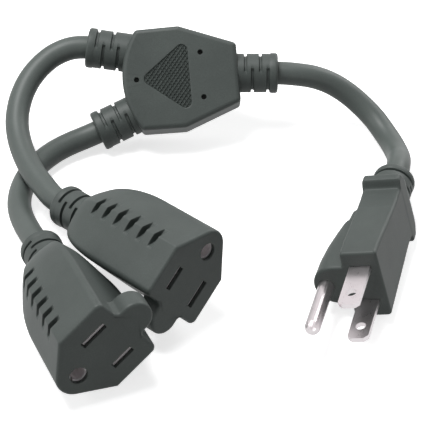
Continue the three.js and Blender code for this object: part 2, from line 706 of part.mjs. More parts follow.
function plug() {
  const group = new THREE.Group();
  group.add(meshOf("plug_overmould", plugOvermould(), PVC));
  group.add(meshOf("plug_blade_block", plugBlock(), CORE));
  group.add(meshOf("plug_line_blade", blade(-BLADE_PITCH / 2), NICKEL));
  group.add(meshOf("plug_neutral_blade", blade(BLADE_PITCH / 2), NICKEL));
  group.add(meshOf("plug_ground_pin", groundPin(), NICKEL));
  const back = -BLADE_TAIL - GAP;
  const terminals = [
    [-BLADE_PITCH / 2, 0, back],
    [BLADE_PITCH / 2, 0, back],
    [0, -GROUND_WIRE_DROP, -GROUND_TAIL - GAP],
  ];
  group.add(...connectorWires("plug", terminals, PLUG_CORD_END, PLUG_AXIS));
  return group;
}

// Hub

function hubOutline() {
  const [cornerX, cornerY] = HUB_LEFT_CORNER;
  const bulge = cornerX - HUB_LEFT;
  const radius = (cornerY * cornerY + bulge * bulge) / (2 * bulge);
  const half = Math.asin(cornerY / radius);
  const c = 1;
  const shape = new THREE.Shape();
  shape.moveTo(HUB_RIGHT, -HUB_RIGHT_HALF_HEIGHT + c);
  shape.lineTo(HUB_RIGHT, HUB_RIGHT_HALF_HEIGHT - c);
  shape.lineTo(HUB_RIGHT - c, HUB_RIGHT_HALF_HEIGHT);
  shape.lineTo(1, HUB_APEX - 0.3);
  shape.lineTo(-1, HUB_APEX);
  shape.lineTo(cornerX + c, cornerY);
  shape.absarc(HUB_LEFT + radius, 0, radius, Math.PI - half, Math.PI + half, false);
  shape.lineTo(cornerX + c, -cornerY);
  shape.lineTo(-1, -HUB_APEX);
  shape.lineTo(1, -HUB_APEX + 0.3);
  shape.lineTo(HUB_RIGHT - c, -HUB_RIGHT_HALF_HEIGHT);
  shape.closePath();
  return shape;
}

function hubBody() {
  const depth = HUB_THICKNESS - 2 * HUB_BEVEL;
  const geometry = new THREE.ExtrudeGeometry(hubOutline(), {
    depth,
    curveSegments: 4,
    bevelEnabled: true,
    bevelThickness: HUB_BEVEL,
    bevelSize: HUB_BEVEL,
    bevelOffset: -HUB_BEVEL,
    bevelSegments: 2,
  });
  return geometry.translate(0, 0, -depth / 2);
}

// Turns a solid drawn along -z from its root into one that leaves the hub at an exit
function toExit(geometry, exit) {
  const angle = THREE.MathUtils.degToRad(exit.angle);
  const out = new THREE.Vector3(Math.cos(angle), Math.sin(angle), 0);
  const up = new THREE.Vector3(0, 0, 1);
  const basis = new THREE.Matrix4().makeBasis(up.clone().cross(out).negate(), up, out.clone().negate());
  basis.setPosition(...exit.root, 0);
  return geometry.applyMatrix4(basis);
}

// The end of a jacket inside the hub and the way that it points
function jacketEnd(exit) {
  const angle = THREE.MathUtils.degToRad(exit.angle);
  const out = new THREE.Vector3(Math.cos(angle), Math.sin(angle), 0);
  return { point: new THREE.Vector3(...exit.root, 0).addScaledVector(out, -exit.inset), out };
}

function stadium(width, height) {
  const radius = width / 2;
  const straight = height / 2 - radius;
  const shape = new THREE.Shape();
  shape.absarc(0, straight, radius, 0, Math.PI, false);
  shape.absarc(0, -straight, radius, Math.PI, 2 * Math.PI, false);
  shape.closePath();
  return shape;
}

// Stands a shape drawn across and through the hub up on the x axis
function alongHub(geometry) {
  const basis = new THREE.Matrix4().makeBasis(
    new THREE.Vector3(0, 1, 0),
    new THREE.Vector3(0, 0, 1),
    new THREE.Vector3(1, 0, 0),
  );
  return geometry.applyMatrix4(basis);
}

const SPLICE_OUTER = SPLICE_BORE.map((size) => size + 2 * SPLICE_WALL);
const SPLICE_ROWS = [SPLICE_PITCH, 0, -SPLICE_PITCH];
const SPLICE_MIDDLE = (HUB_CORE.left + HUB_CORE.right) / 2;
const LAYER = SPLICE_BORE[1] / 2 - WIRE_DIAMETER / 2 - GAP; // height of each pair's wires off the middle

function splice(row) {
  const shape = stadium(...SPLICE_OUTER);
  shape.holes.push(stadium(...SPLICE_BORE));
  const sleeve = prism(shape, SPLICE_MIDDLE - SPLICE_LENGTH / 2, SPLICE_MIDDLE + SPLICE_LENGTH / 2, 5);
  return alongHub(sleeve).translate(0, SPLICE_ROWS[row], 0);
}

function coreShape(grow) {
  const { left, right, halfHeight } = HUB_CORE;
  return roundedPolygon([
    [left - grow, -halfHeight - grow],
    [right + grow, -halfHeight - grow],
    [right + grow, halfHeight + grow],
    [left - grow, halfHeight + grow],
  ], HUB_CORE_CORNER);
}

function hubCore() {
  const body = prism(coreShape(0), -HUB_CORE.halfThickness, HUB_CORE.halfThickness, 2);
  const channel = stadium(...SPLICE_OUTER.map((size) => size + 2 * GAP));
  const cutters = SPLICE_ROWS.map((row) => {
    const cutter = prism(channel, HUB_CORE.left - OVERCUT, HUB_CORE.right + OVERCUT, 5);
    return alongHub(cutter).translate(0, row, 0);
  });
  return build(body, [], cutters);
}

// The spaces beside the inner mould where the cords' cores fan out to the splices
function hubChambers() {
  const upper = jacketEnd(HUB_EXITS.upper).point;
  const lower = jacketEnd(HUB_EXITS.lower).point;
  const right = jacketEnd(HUB_EXITS.plug).point;
  const reach = 3.2;
  const left = new THREE.Shape([
    [HUB_CORE.left, -HUB_CORE.halfHeight],
    [HUB_CORE.left, HUB_CORE.halfHeight],
    [HUB_CORE.left - 4.5, upper.y + reach],
    [upper.x, upper.y + reach],
    [upper.x - 1.2, upper.y - reach - 0.6],
    [lower.x - 1.5, lower.y + reach],
    [lower.x, lower.y - reach],
    [HUB_CORE.left - 4.5, lower.y - reach],
  ].map((point) => new THREE.Vector2(...point)));
  const plugSide = new THREE.Shape([
    [HUB_CORE.right, -HUB_CORE.halfHeight],
    [right.x + 0.2, right.y - reach - 0.7],
    [right.x + 0.2, right.y + reach + 0.7],
    [HUB_CORE.right, HUB_CORE.halfHeight],
  ].map((point) => new THREE.Vector2(...point)));
  const half = LAYER + WIRE_DIAMETER / 2 + GAP;
  return [prism(left, -half, half), prism(plugSide, -half, half)];
}

function hubOvermould() {
  const exits = Object.values(HUB_EXITS);
  const sleeves = exits.map((exit) => toExit(reliefSleeve(LONG_RELIEF, 4), exit));
  const bores = exits.map((exit) => {
    const width = CORD_DIAMETER + 2 * GAP;
    const cutter = bar(width, -LONG_RELIEF.length / 2, exit.inset + GAP, 0, 0, RELIEF_SIDES);
    return toExit(cutter, exit);
  });
  const slots = exits.flatMap((exit) => reliefSlots(LONG_RELIEF, 180).map((cutter) => toExit(cutter, exit)));
  const { halfThickness } = HUB_CORE;
  const pocket = prism(coreShape(GAP), -halfThickness - GAP, halfThickness + GAP, 2);
  const face = HUB_THICKNESS / 2;
  const panel = prism(roundedPolygon(PANEL, PANEL_CORNER), face - PANEL_DEPTH, face + OVERCUT, 4);
  const bottom = face - PIN_HOLE_DEPTH - GAP;
  const pins = PIN_HOLES.map(([x, y]) => bar(PIN_HOLE, bottom, face + OVERCUT, x, y, 12));
  return build(hubBody(), sleeves, [pocket, ...hubChambers(), ...bores, ...slots, panel, ...pins]);
}

// The cores of one cord, side by side, from the jacket's end to the three splices
function hubWires(prefix, exit, spliceX, layer) {
  const { point, out } = jacketEnd(exit);
  const across = new THREE.Vector3(-out.y, out.x, 0);
  const side = Math.sign(across.y);
  return CORES.map((core, row) => {
    const offset = side * FLAT_SPREAD * (1 - row);
    const end = point.clone().addScaledVector(out, -GAP).addScaledVector(across, offset);
    const start = [spliceX, SPLICE_ROWS[row], layer];
    const lead = (end.x - spliceX) * 0.8;
    const back = out.clone().multiplyScalar(-Math.abs(lead) * 0.5);
    const geometry = wire(start, [end.x, end.y, layer], [[lead, 0, 0], back.toArray()]);
    return meshOf(`${prefix}_${core.name}_wire`, geometry, core.material);
  });
}

function hub() {
  const group = new THREE.Group();
  group.add(meshOf("hub_overmould", hubOvermould(), PVC));
  group.add(meshOf("hub_inner_mould", hubCore(), CORE));
  CORES.forEach((core, row) => {
    group.add(meshOf(`hub_${core.name}_splice`, splice(row), BRASS));
  });
  group.add(...hubWires("hub_plug", HUB_EXITS.plug, SPLICE_MIDDLE + 1.5, 0));
  group.add(...hubWires("hub_outlet_2", HUB_EXITS.upper, SPLICE_MIDDLE - 1.5, LAYER));
  group.add(...hubWires("hub_outlet_1", HUB_EXITS.lower, SPLICE_MIDDLE - 1.5, -LAYER));
  return group;
}

// Placing

// Turns a group so that its z points along a heading and a pitch, rolls it, and sets it down on z = 0
function place(group, { x, y, heading, pitch, roll }) {
  const [psi, theta, phi] = [heading, pitch, roll].map(THREE.MathUtils.degToRad);
  const flat = Math.cos(theta);
  const axis = new THREE.Vector3(Math.cos(psi) * flat, Math.sin(psi) * flat, Math.sin(theta));
  const up = new THREE.Vector3(0, 0, 1).addScaledVector(axis, -axis.z).normalize();
  const side = up.clone().cross(axis);
  const yAxis = up.multiplyScalar(Math.cos(phi)).addScaledVector(side, Math.sin(phi));
  const basis = new THREE.Matrix4().makeBasis(yAxis.clone().cross(axis), yAxis, axis);
  group.quaternion.setFromRotationMatrix(basis);
  group.position.set(x, y, 0);
  group.updateMatrixWorld(true);
  const lowest = new THREE.Box3().setFromObject(group, true).min.z;
  group.position.z = -lowest;
  group.updateMatrixWorld(true);
  return group;
}

// The straight start of a cord in a placed piece: the jacket's end and the sleeve's mouth
function cordStart(group, inner, out, sleeve) {
  const start = group.localToWorld(inner.clone());
  const way = out.clone().transformDirection(group.matrixWorld);
  return [start, start.clone().addScaledVector(way, sleeve)];
}

function connectorStart(group, cordEnd, length, axis) {
  const inner = new THREE.Vector3(0, axis, cordEnd);
  return cordStart(group, inner, new THREE.Vector3(0, 0, -1), cordEnd + length);
}

function hubStart(group, exit) {
  const { point, out } = jacketEnd(exit);
  return cordStart(group, point, out, exit.inset + LONG_RELIEF.length);
}

function cordRoute(first, middle, last) {
  const points = [...first, ...middle.map((point) => new THREE.Vector3(...point)), ...last.reverse()];
  return new THREE.CatmullRomCurve3(points, false, "centripetal");
}

function cord(name, curve) {
  const steps = Math.round(curve.getLength() / CORD_STEP);
  return meshOf(name, tube(curve, CORD_DIAMETER, CORD_SIDES, steps), JACKET);
}

const plugGroup = place(plug(), PLUG_PLACE);
const outlet1 = place(outlet(1), OUTLET_1_PLACE);
const outlet2 = place(outlet(2), OUTLET_2_PLACE);
const hubGroup = place(hub(), HUB_PLACE);

const plugRoute = cordRoute(
  hubStart(hubGroup, HUB_EXITS.plug),
  PLUG_CORD_POINTS,
  connectorStart(plugGroup, PLUG_CORD_END, PLUG_LENGTH + SHORT_RELIEF.length, PLUG_AXIS),
);
const upperRoute = cordRoute(
  hubStart(hubGroup, HUB_EXITS.upper),
  UPPER_CORD_POINTS,
  connectorStart(outlet2, OUTLET_CORD_END, OUTLET_LENGTH + LONG_RELIEF.length, OUTLET_AXIS),
);
const lowerRoute = cordRoute(
  hubStart(hubGroup, HUB_EXITS.lower),
  LOWER_CORD_POINTS,
  connectorStart(outlet1, OUTLET_CORD_END, OUTLET_LENGTH + LONG_RELIEF.length, OUTLET_AXIS),
);

const splitter = new THREE.Group();
splitter.name = "power_cord_splitter";
splitter.add(plugGroup, outlet1, outlet2, hubGroup);
splitter.add(cord("plug_cord", plugRoute));
splitter.add(cord("outlet_2_cord", upperRoute));
splitter.add(cord("outlet_1_cord", lowerRoute));

export default splitter;
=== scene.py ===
import json
import math

import bmesh
import bpy
import numpy as np
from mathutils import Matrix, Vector


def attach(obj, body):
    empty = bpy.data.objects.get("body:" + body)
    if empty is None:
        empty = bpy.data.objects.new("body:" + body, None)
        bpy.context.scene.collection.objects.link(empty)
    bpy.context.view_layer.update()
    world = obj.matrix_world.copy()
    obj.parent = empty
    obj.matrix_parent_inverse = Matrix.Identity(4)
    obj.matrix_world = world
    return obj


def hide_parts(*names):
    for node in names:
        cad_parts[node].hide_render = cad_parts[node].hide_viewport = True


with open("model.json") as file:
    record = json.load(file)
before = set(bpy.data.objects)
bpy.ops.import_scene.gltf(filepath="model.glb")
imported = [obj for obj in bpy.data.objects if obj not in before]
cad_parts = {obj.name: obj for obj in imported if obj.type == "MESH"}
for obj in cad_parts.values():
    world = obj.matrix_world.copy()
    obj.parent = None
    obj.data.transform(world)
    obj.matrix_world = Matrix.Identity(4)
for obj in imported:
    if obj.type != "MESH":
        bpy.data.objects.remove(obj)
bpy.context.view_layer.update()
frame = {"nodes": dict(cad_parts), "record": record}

MM = 0.001

# Sizes of the real object, in mm, as in the CAD source
CORD_DIAMETER = 7.6
FIT = 0.3
BLADE_PITCH = 12.7
BLADE_WIDTH = 6.35
BLADE_THICKNESS = 1.5
GROUND_DROP = 11.9
GROUND_PIN = 4.8
WIRE = 2.0
NEUTRAL_SLOT = (1.9, 8.7)
LINE_SLOT = (1.9, 7.4)
GROUND_HOLE = 5.3
BORE = CORD_DIAMETER + 0.24  # the cord's space in the mouldings
METAL_WAY = 0.12  # what the ways of the blades and the pin are wider than they are
ROUND_SIDES = 40
WIRE_SPACE_END = 5.2  # radius of a connector's inner space where it meets the cord
CORD_IN_OUTLET = 6.0
CORD_IN_PLUG = 8.0

RELIEF = {"root": 6.4, "collar": 6.6, "floor": 5.5, "slot": 0.9, "span": 190.0}
RELIEF_SOFT = 0.12  # the round of a slot's edge
RELIEF_LIP = 0.8  # the round of a sleeve's free end
# length of a sleeve and where its slots are
LONG_RELIEF = (13.0, (2.4, 4.7, 7.3, 9.8))
SHORT_RELIEF = (9.8, (2.3, 4.6, 6.9))

OUTLET = {"half": 13.0, "top": 8.4, "shoulder": -7.8, "end": 6.1, "centre": -12.7, "corner": 2.0,
          "length": 45.0, "full": 24.0, "neck": 7.5, "axis": -2.5, "wall": 2.6, "face": 1.2, "edge": 1.0}
EAR = {"half": 5.2, "centre": 11.1, "depth": 7.5, "fillet": 1.6}
GROOVE = {"count": 6, "first": 9.0, "pitch": 5.3, "width": 1.9, "depth": 2.2, "radius": 11.0}
CARRIER_LENGTH = 20.0

PLUG = {"half": 12.0, "top": 5.8, "bottom": -5.6, "corner": 1.2, "boss": 6.9, "boss_bottom": -15.8,
        "length": 42.5, "axis": -1.2, "face": 3.0, "block": 10.0, "pin_tail": 8.0,
        "wire_drop": 10.5, "edge": 0.9}
# distance behind the face, half width, top, ground side of the body, ground side of the boss
PLUG_STATIONS = (
    (0.0, 12.0, 5.8, -5.6, -15.8),
    (8.0, 11.4, 5.8, -5.8, -15.6),
    (15.0, 10.6, 5.9, -5.9, -14.8),
    (21.0, 9.9, 6.0, -6.0, -13.4),
    (25.4, 9.5, 6.0, -6.0, -12.2),
    (26.0, 9.4, 6.0, -6.0, -11.0),
    (30.4, 9.2, 6.0, -6.0, -10.4),
    (31.0, 9.2, 6.0, -6.0, -8.0),
    (34.9, 9.4, 6.0, -6.0, -7.8),
    (35.9, 12.2, 6.1, -6.0, -7.6),
    (38.5, 12.2, 6.1, -6.0, -7.5),
    (40.2, 9.8, 6.1, -6.1, -7.4),
    (42.5, 7.0, 5.6, -6.2, -6.9),
)

HUB = {"thickness": 14.6, "edge": 1.5, "right": 18.4, "right_half": 9.7, "apex": 16.8,
       "left_corner": (-14.2, 16.6), "left": -19.6, "core_left": -3.0, "core_right": 8.0,
       "core_half": 8.4, "core_thick": 4.7}
PANEL = ((-13.6, 0.0), (2.4, 12.4), (2.4, -12.4))
PANEL_CORNER = 1.9
PANEL_DEPTH = 0.5
# The crosshatch: ridge spacing along x, slant, height over its base, and the grid that carries it
MESH = {"pitch": 1.408, "slant": 0.8, "height": 0.36, "base": 0.04, "grid": 0.16}
PIN_HOLES = ((6.5, 7.4), (6.5, -7.4), (-14.9, 0.0))
PIN_HOLE = 0.85
PIN_HOLE_DEPTH = 2.4
# root of each sleeve on the hub, the way that it points in degrees, and how far in its cord ends
HUB_EXITS = (((18.4, 0.6), -5.0, 4.0), ((-17.6, 10.4), 167.0, 4.0), ((-17.0, -10.3), 201.0, 4.0))

# Where each rigid piece lies: origin in mm, then heading of its z axis from +x, pitch and roll in degrees
PLUG_PLACE = (63.2, -37.1, 13.7506, -104.8, 1.1, 74.6)
OUTLET_1_PLACE = (-11.0, -68.3, 18.4890, -68.4, 7.2, 52.0)
OUTLET_2_PLACE = (10.6, -42.1, 17.7456, -47.0, 6.9, 233.0)
HUB_PLACE = (8.4, 58.9, 18.3256, -90.0, 45.0, -4.9)

PLUG_CORD_POINTS = (
    (45.6, 60.5, 19.3), (51.6, 60.9, 17.9), (57.4, 61.0, 15.3), (62.8, 59.9, 12.1), (67.6, 57.4, 8.9),
    (71.8, 53.6, 6.2), (74.7, 48.9, 4.5), (76.8, 43.6, 4.1), (78.0, 37.8, 4.9), (78.3, 31.8, 7.1),
    (77.8, 25.6, 10.0), (76.9, 19.6, 12.0),
)
UPPER_CORD_POINTS = (
    (-28.6, 65.9, 25.8), (-34.0, 63.6, 24.6), (-38.4, 59.9, 22.7), (-41.7, 55.3, 20.6),
    (-43.8, 50.1, 18.4), (-44.8, 44.6, 16.4), (-44.8, 39.1, 14.7), (-43.8, 33.4, 13.3),
    (-42.1, 27.6, 12.4), (-39.9, 21.9, 11.9), (-37.3, 16.3, 11.7), (-34.3, 10.9, 11.7),
    (-31.2, 5.7, 11.9),
)
LOWER_CORD_POINTS = (
    (-24.1, 44.7, 4.9), (-28.6, 42.2, 4.4), (-32.6, 39.1, 4.1), (-36.0, 35.3, 3.95),
    (-38.8, 31.0, 3.9), (-40.9, 26.3, 3.9), (-42.2, 21.4, 3.95), (-42.8, 16.3, 4.1),
    (-42.7, 11.2, 4.4), (-41.8, 6.0, 5.0), (-40.3, 0.8, 5.8), (-38.4, -4.5, 6.9), (-36.3, -10.0, 8.3),
)

# Camera: its elevation, its distance from the target, and the picture's scale there
CAMERA_TARGET = (18.6, 12.1, 0.0)
CAMERA_ELEVATION = 40.0
CAMERA_DISTANCE = 650.0
PIXELS_PER_MM = 3.15
PICTURE = 427


# Places and paths

def placed_axes(place):
    """The x, y and z directions of a placed piece: z points along the heading and pitch, and y is the upward
    direction across z turned by the roll."""
    psi, theta, phi = (math.radians(a) for a in place[3:])
    z = np.array([math.cos(psi) * math.cos(theta), math.sin(psi) * math.cos(theta), math.sin(theta)])
    up = np.array([0.0, 0.0, 1.0]) - z * z[2]
    up /= np.linalg.norm(up)
    y = up * math.cos(phi) + np.cross(up, z) * math.sin(phi)
    return np.stack([np.cross(y, z), y, z])


def to_world(points, place):
    """Turns points in a piece's own frame into the row frame: origin plus each coordinate times its axis."""
    return np.asarray(points, float) @ placed_axes(place) + np.array(place[:3])


def exit_frame(exit_):
    """Axes and origin, in the hub's frame, of a sleeve that runs along -z from its root on the hub's edge."""
    root, angle, _ = exit_
    out = np.array([math.cos(math.radians(angle)), math.sin(math.radians(angle)), 0.0])
    up = np.array([0.0, 0.0, 1.0])
    return np.stack([-np.cross(up, out), up, -out]), np.array([root[0], root[1], 0.0])


def hub_start(exit_):
    """The jacket's end inside the hub and the mouth of its sleeve, in the row frame."""
    axes, root = exit_frame(exit_)
    ends = [root + axes[2] * exit_[2], root - axes[2] * LONG_RELIEF[0]]
    return [to_world(p, HUB_PLACE) for p in ends]


def connector_start(place, inner, mouth, axis):
    """The jacket's end inside a connector and the mouth of its sleeve, in the row frame."""
    return [to_world((0.0, axis, -inner), place), to_world((0.0, axis, -mouth), place)]


def catmull_rom(points, per_span=14):
    """A centripetal Catmull-Rom curve through the points: each span is blended from four neighbours, with
    knots spaced by the square root of the distance between them."""
    p = np.array(points, float)
    p = np.vstack([2 * p[0] - p[1], p, 2 * p[-1] - p[-2]])
    out = []
    for i in range(1, len(p) - 2):
        a, b, c, d = p[i - 1:i + 3]
        t0 = 0.0
        t1 = t0 + np.linalg.norm(b - a) ** 0.5
        t2 = t1 + np.linalg.norm(c - b) ** 0.5
        t3 = t2 + np.linalg.norm(d - c) ** 0.5
        for t in np.linspace(t1, t2, per_span, endpoint=False):
            a1 = (t1 - t) / (t1 - t0) * a + (t - t0) / (t1 - t0) * b
            a2 = (t2 - t) / (t2 - t1) * b + (t - t1) / (t2 - t1) * c
            a3 = (t3 - t) / (t3 - t2) * c + (t - t2) / (t3 - t2) * d
            b1 = (t2 - t) / (t2 - t0) * a1 + (t - t0) / (t2 - t0) * a2
            b2 = (t3 - t) / (t3 - t1) * a2 + (t - t1) / (t3 - t1) * a3
            out.append((t2 - t) / (t2 - t1) * b1 + (t - t1) / (t2 - t1) * b2)
    out.append(p[-2])
    return np.array(out)


# Meshes

def mesh_object(name, vertices, faces, unit=1.0, smooth=True):
    """A mesh object from points in mm. Shapes are cut in mm, and a unit of MM gives one in the row frame."""
    mesh = bpy.data.meshes.new(name)
    mesh.from_pydata((np.asarray(vertices, float) * unit).tolist(), [], faces)
    tidy = bmesh.new()
    tidy.from_mesh(mesh)
    bmesh.ops.recalc_face_normals(tidy, faces=tidy.faces)
    tidy.to_mesh(mesh)
    tidy.free()
    obj = bpy.data.objects.new(name, mesh)
    bpy.context.scene.collection.objects.link(obj)
    if smooth:
        mesh.shade_smooth()
    return obj


def grid_faces(rows, columns):
    """Quads of a grid that closes on itself along each row, with a fan to one point at either end. The first
    and last vertex are those points."""
    here = np.arange(columns)
    after = np.roll(here, -1)
    row = 1 + columns * np.arange(rows - 1)[:, None]
    last = 1 + (rows - 1) * columns
    start = np.column_stack([np.zeros_like(here), 1 + after, 1 + here])
    end = np.column_stack([np.full_like(here, rows * columns + 1), last + here, last + after])
    quads = np.stack([row + here, row + after, row + columns + after, row + columns + here], axis=-1)
    return start.tolist() + quads.reshape(-1, 4).tolist() + end.tolist()


def skin(name, rows, unit=1.0):
    """A closed surface through the rows, each a ring of the same number of points, closed at both ends by a
    fan to the ring's middle."""
    rows = np.asarray(rows, float)
    count, columns, _ = rows.shape
    vertices = np.vstack([rows[0].mean(axis=0), rows.reshape(-1, 3), rows[-1].mean(axis=0)])
    return mesh_object(name, vertices, grid_faces(count, columns), unit)


def rounded_polygon(corners, arc=8, spacing=0.9):
    """A closed outline: straight lines joined by arcs that touch both neighbours. Each corner is x, y and the
    arc's radius. Lines carry a point at least every spacing."""
    n = len(corners)
    points = []
    for i in range(n):
        before = np.array(corners[i - 1][:2], float)
        here = np.array(corners[i][:2], float)
        after = np.array(corners[(i + 1) % n][:2], float)
        radius = corners[i][2]
        u = (before - here) / np.linalg.norm(before - here)
        v = (after - here) / np.linalg.norm(after - here)
        half = math.acos(np.clip(u @ v, -1, 1)) / 2
        reach = radius / math.tan(half)
        start, end = here + u * reach, here + v * reach
        middle = here + (u + v) / np.linalg.norm(u + v) * (radius / math.sin(half))
        for t in np.linspace(0, 1, arc + 1):
            s = start * (1 - t) + end * t - middle
            points.append(middle + s / np.linalg.norm(s) * radius)
    out = []
    for a, b in zip(points, points[1:] + points[:1]):
        steps = max(1, int(np.linalg.norm(b - a) / spacing))
        out.extend(a + (b - a) * k / steps for k in range(steps))
    return np.array(out)


def inset_ring(outline, inset):
    """The outline moved inward by the inset along its own normals."""
    ahead = np.roll(outline, -1, axis=0) - outline
    behind = outline - np.roll(outline, 1, axis=0)
    ahead /= np.linalg.norm(ahead, axis=1)[:, None]
    behind /= np.linalg.norm(behind, axis=1)[:, None]
    along = ahead + behind
    along /= np.linalg.norm(along, axis=1)[:, None]
    inward = np.stack([-along[:, 1], along[:, 0]], axis=1)
    return outline + inward * inset


def at_depth(outline, z):
    """A plane outline as a ring of 3-D points at height z."""
    return np.column_stack([outline, np.full(len(outline), z)])


def cutter_prism(name, outline, low, high):
    """A plain prism over an outline, for cutting."""
    return skin(name, [at_depth(outline, high), at_depth(outline, low)])


def circle(radius, sides=32, centre=(0.0, 0.0)):
    """A circle as an outline."""
    a = np.linspace(0, 2 * math.pi, sides, endpoint=False)
    return np.column_stack([centre[0] + radius * np.cos(a), centre[1] + radius * np.sin(a)])


def rectangle(x, y, width, height, corner=0.15):
    """A rectangle round x, y with small round corners, as an outline."""
    w, h = width / 2, height / 2
    corners = [(x - w, y - h, corner), (x + w, y - h, corner), (x + w, y + h, corner), (x - w, y + h, corner)]
    return rounded_polygon(corners, arc=3, spacing=3.0)


def flared_hole(name, outline, low, face, flare):
    """A cutter for a hole with a slightly rounded lip: the outline, opened by the flare where it meets the
    face."""
    rings = [at_depth(inset_ring(outline, -2 * flare), face + 1.0)]
    rings.append(at_depth(inset_ring(outline, -2 * flare), face + flare))
    for t in np.linspace(0, math.pi / 2, 4):
        lip = inset_ring(outline, -flare * (1 - math.sin(t)))
        rings.append(at_depth(lip, face - flare * (1 - math.cos(t))))
    rings.append(at_depth(outline, low))
    return skin(name, rings)


def combine(obj, others, operation):
    """Cuts the others from obj or joins them to it, and removes them."""
    for other in others:
        modifier = obj.modifiers.new("combine", "BOOLEAN")
        modifier.operation = operation
        modifier.solver = "MANIFOLD"
        modifier.object = other
        graph = bpy.context.evaluated_depsgraph_get()
        made = bpy.data.meshes.new_from_object(obj.evaluated_get(graph))
        obj.modifiers.clear()
        old = obj.data
        obj.data = made
        bpy.data.meshes.remove(old)
        bpy.data.objects.remove(other)
    return obj


def finish_edges(obj, angle=35.0, flat=None):
    """Smooth shading that keeps edges sharper than the angle, and lets the larger faces lead the normals.
    Faces square to the direction flat are cut off from the round edges beside them, so that they shade
    flat."""
    mesh = obj.data
    mesh.shade_smooth()
    mesh.set_sharp_from_angle(angle=math.radians(angle))
    if flat is not None:
        work = bmesh.new()
        work.from_mesh(mesh)
        way = Vector(flat)
        for edge in work.edges:
            lean = [abs(face.normal.dot(way)) for face in edge.link_faces]
            if max(lean) > 0.9999 and min(lean) < 0.9996:
                edge.smooth = False
        work.to_mesh(mesh)
        work.free()
    shading = obj.modifiers.new("flat faces stay flat", "WEIGHTED_NORMAL")
    shading.weight = 100
    shading.keep_sharp = True
    return obj


def rounded_side(outline, high, low, edge, steps=5):
    """Rings of a slab with round edges: the outline is inset by edge times one minus the sine of an angle,
    and lowered by edge times one minus its cosine, on both faces."""
    rings = []
    turns = np.linspace(0, math.pi / 2, steps + 1)
    for t in turns:
        rings.append(at_depth(inset_ring(outline, edge * (1 - math.sin(t))), high - edge * (1 - math.cos(t))))
    for t in turns[::-1]:
        rings.append(at_depth(inset_ring(outline, edge * (1 - math.sin(t))), low + edge * (1 - math.cos(t))))
    return rings


def step(x, low, high):
    """0 below low, 1 above high and a smooth rise between."""
    t = np.clip((x - low) / (high - low), 0, 1)
    return t * t * (3 - 2 * t)


# Strain reliefs

def relief_angles():
    """Directions round a sleeve, with extra ones at the ends of the slots."""
    ends = np.array([-5.0, 5.0, 175.0, 185.0])
    extra = (ends[:, None] + np.array([-2.2, -0.8, 0.8, 2.2])).ravel()
    angles = np.concatenate([np.arange(0, 360, 6.0), extra]) % 360
    return np.unique(np.round(angles, 3))


def relief_rings(relief, turn, depth):
    """Rings of a slotted sleeve along -z from its root. Its radius is the root's, then the collar's past the
    last slot. A slot lowers it to the floor over its width and over a little more than half a turn, with
    soft edges, on either side in turn."""
    length, slots = relief
    soft = RELIEF_SOFT
    half = RELIEF["slot"] / 2
    collar_at = slots[-1] + half + 0.3
    places = [-depth, 0.0, collar_at, collar_at + 0.3, length - RELIEF_LIP]
    for s in slots:
        places += [s - half - soft, s - half - soft / 3, s - half + soft / 3, s - half + soft]
        places += [s + half - soft, s + half - soft / 3, s + half + soft / 3, s + half + soft]
    places = np.unique(np.round(places, 4))
    angles = relief_angles()
    rings = []
    for s in places:
        base = RELIEF["root"] + (RELIEF["collar"] - RELIEF["root"]) * step(s, collar_at, collar_at + 0.3)
        radius = np.full(len(angles), base)
        for i, middle in enumerate(slots):
            away = np.abs((angles - turn - 180.0 * i + 180.0) % 360.0 - 180.0)
            share = 1 - step(np.abs(s - middle), half - soft, half + soft)
            share = share * (1 - step(away, RELIEF["span"] / 2 - 2.2, RELIEF["span"] / 2 + 2.2))
            radius = radius + share * (RELIEF["floor"] - base)
        a = np.radians(angles)
        rings.append(np.column_stack([radius * np.cos(a), radius * np.sin(a), np.full(len(a), -s)]))
    for t in np.linspace(0, math.pi / 2, 5)[1:]:
        radius = RELIEF["collar"] - RELIEF_LIP * (1 - math.cos(t))
        a = np.radians(angles)
        z = -(length - RELIEF_LIP * (1 - math.sin(t)))
        rings.append(np.column_stack([radius * np.cos(a), radius * np.sin(a), np.full(len(a), z)]))
    return np.array(rings)


# Outlets

def outlet_outline():
    """The face: straight top and sides, then two lines that run tangent into the round ground end."""
    o = OUTLET
    shoulder = np.array([o["half"], o["shoulder"] - o["centre"]])
    tangent = math.atan2(shoulder[1], shoulder[0]) - math.acos(o["end"] / np.linalg.norm(shoulder))
    low = o["centre"] + o["end"] / math.sin(tangent)
    return rounded_polygon([
        (0.0, low, o["end"]),
        (o["half"], o["shoulder"], 1.0),
        (o["half"], o["top"], o["corner"]),
        (-o["half"], o["top"], o["corner"]),
        (-o["half"], o["shoulder"], 1.0),
    ], arc=14, spacing=0.55)


def outlet_blend(behind):
    """How far the section has turned into the neck's circle: one minus a quarter-ellipse that starts where
    the full section ends."""
    share = np.clip((behind - OUTLET["full"]) / (OUTLET["length"] - OUTLET["full"]), 0, 1)
    return 1 - math.sqrt(1 - 0.96 * share * share)


def toward_circle(ring, centre_y, radius, blend):
    """Each point moves by the blend towards the circle's point in the same direction."""
    arm = ring - (0.0, centre_y)
    on_circle = arm / np.linalg.norm(arm, axis=1)[:, None] * radius
    return arm + (on_circle - arm) * blend + (0.0, centre_y)


def groove_discs():
    """Place behind the face and middle of each crescent groove's disc, on the right side."""
    discs = []
    for i in range(GROOVE["count"]):
        behind = GROOVE["first"] + i * GROOVE["pitch"]
        edge = np.array([OUTLET["half"], OUTLET["shoulder"] - OUTLET["axis"]])
        edge = edge + (edge / np.linalg.norm(edge) * OUTLET["neck"] - edge) * outlet_blend(behind)
        centre = edge + np.array([0.93, -0.37]) * (GROOVE["radius"] - GROOVE["depth"])
        discs.append((behind, centre + (0.0, OUTLET["axis"])))
    return discs


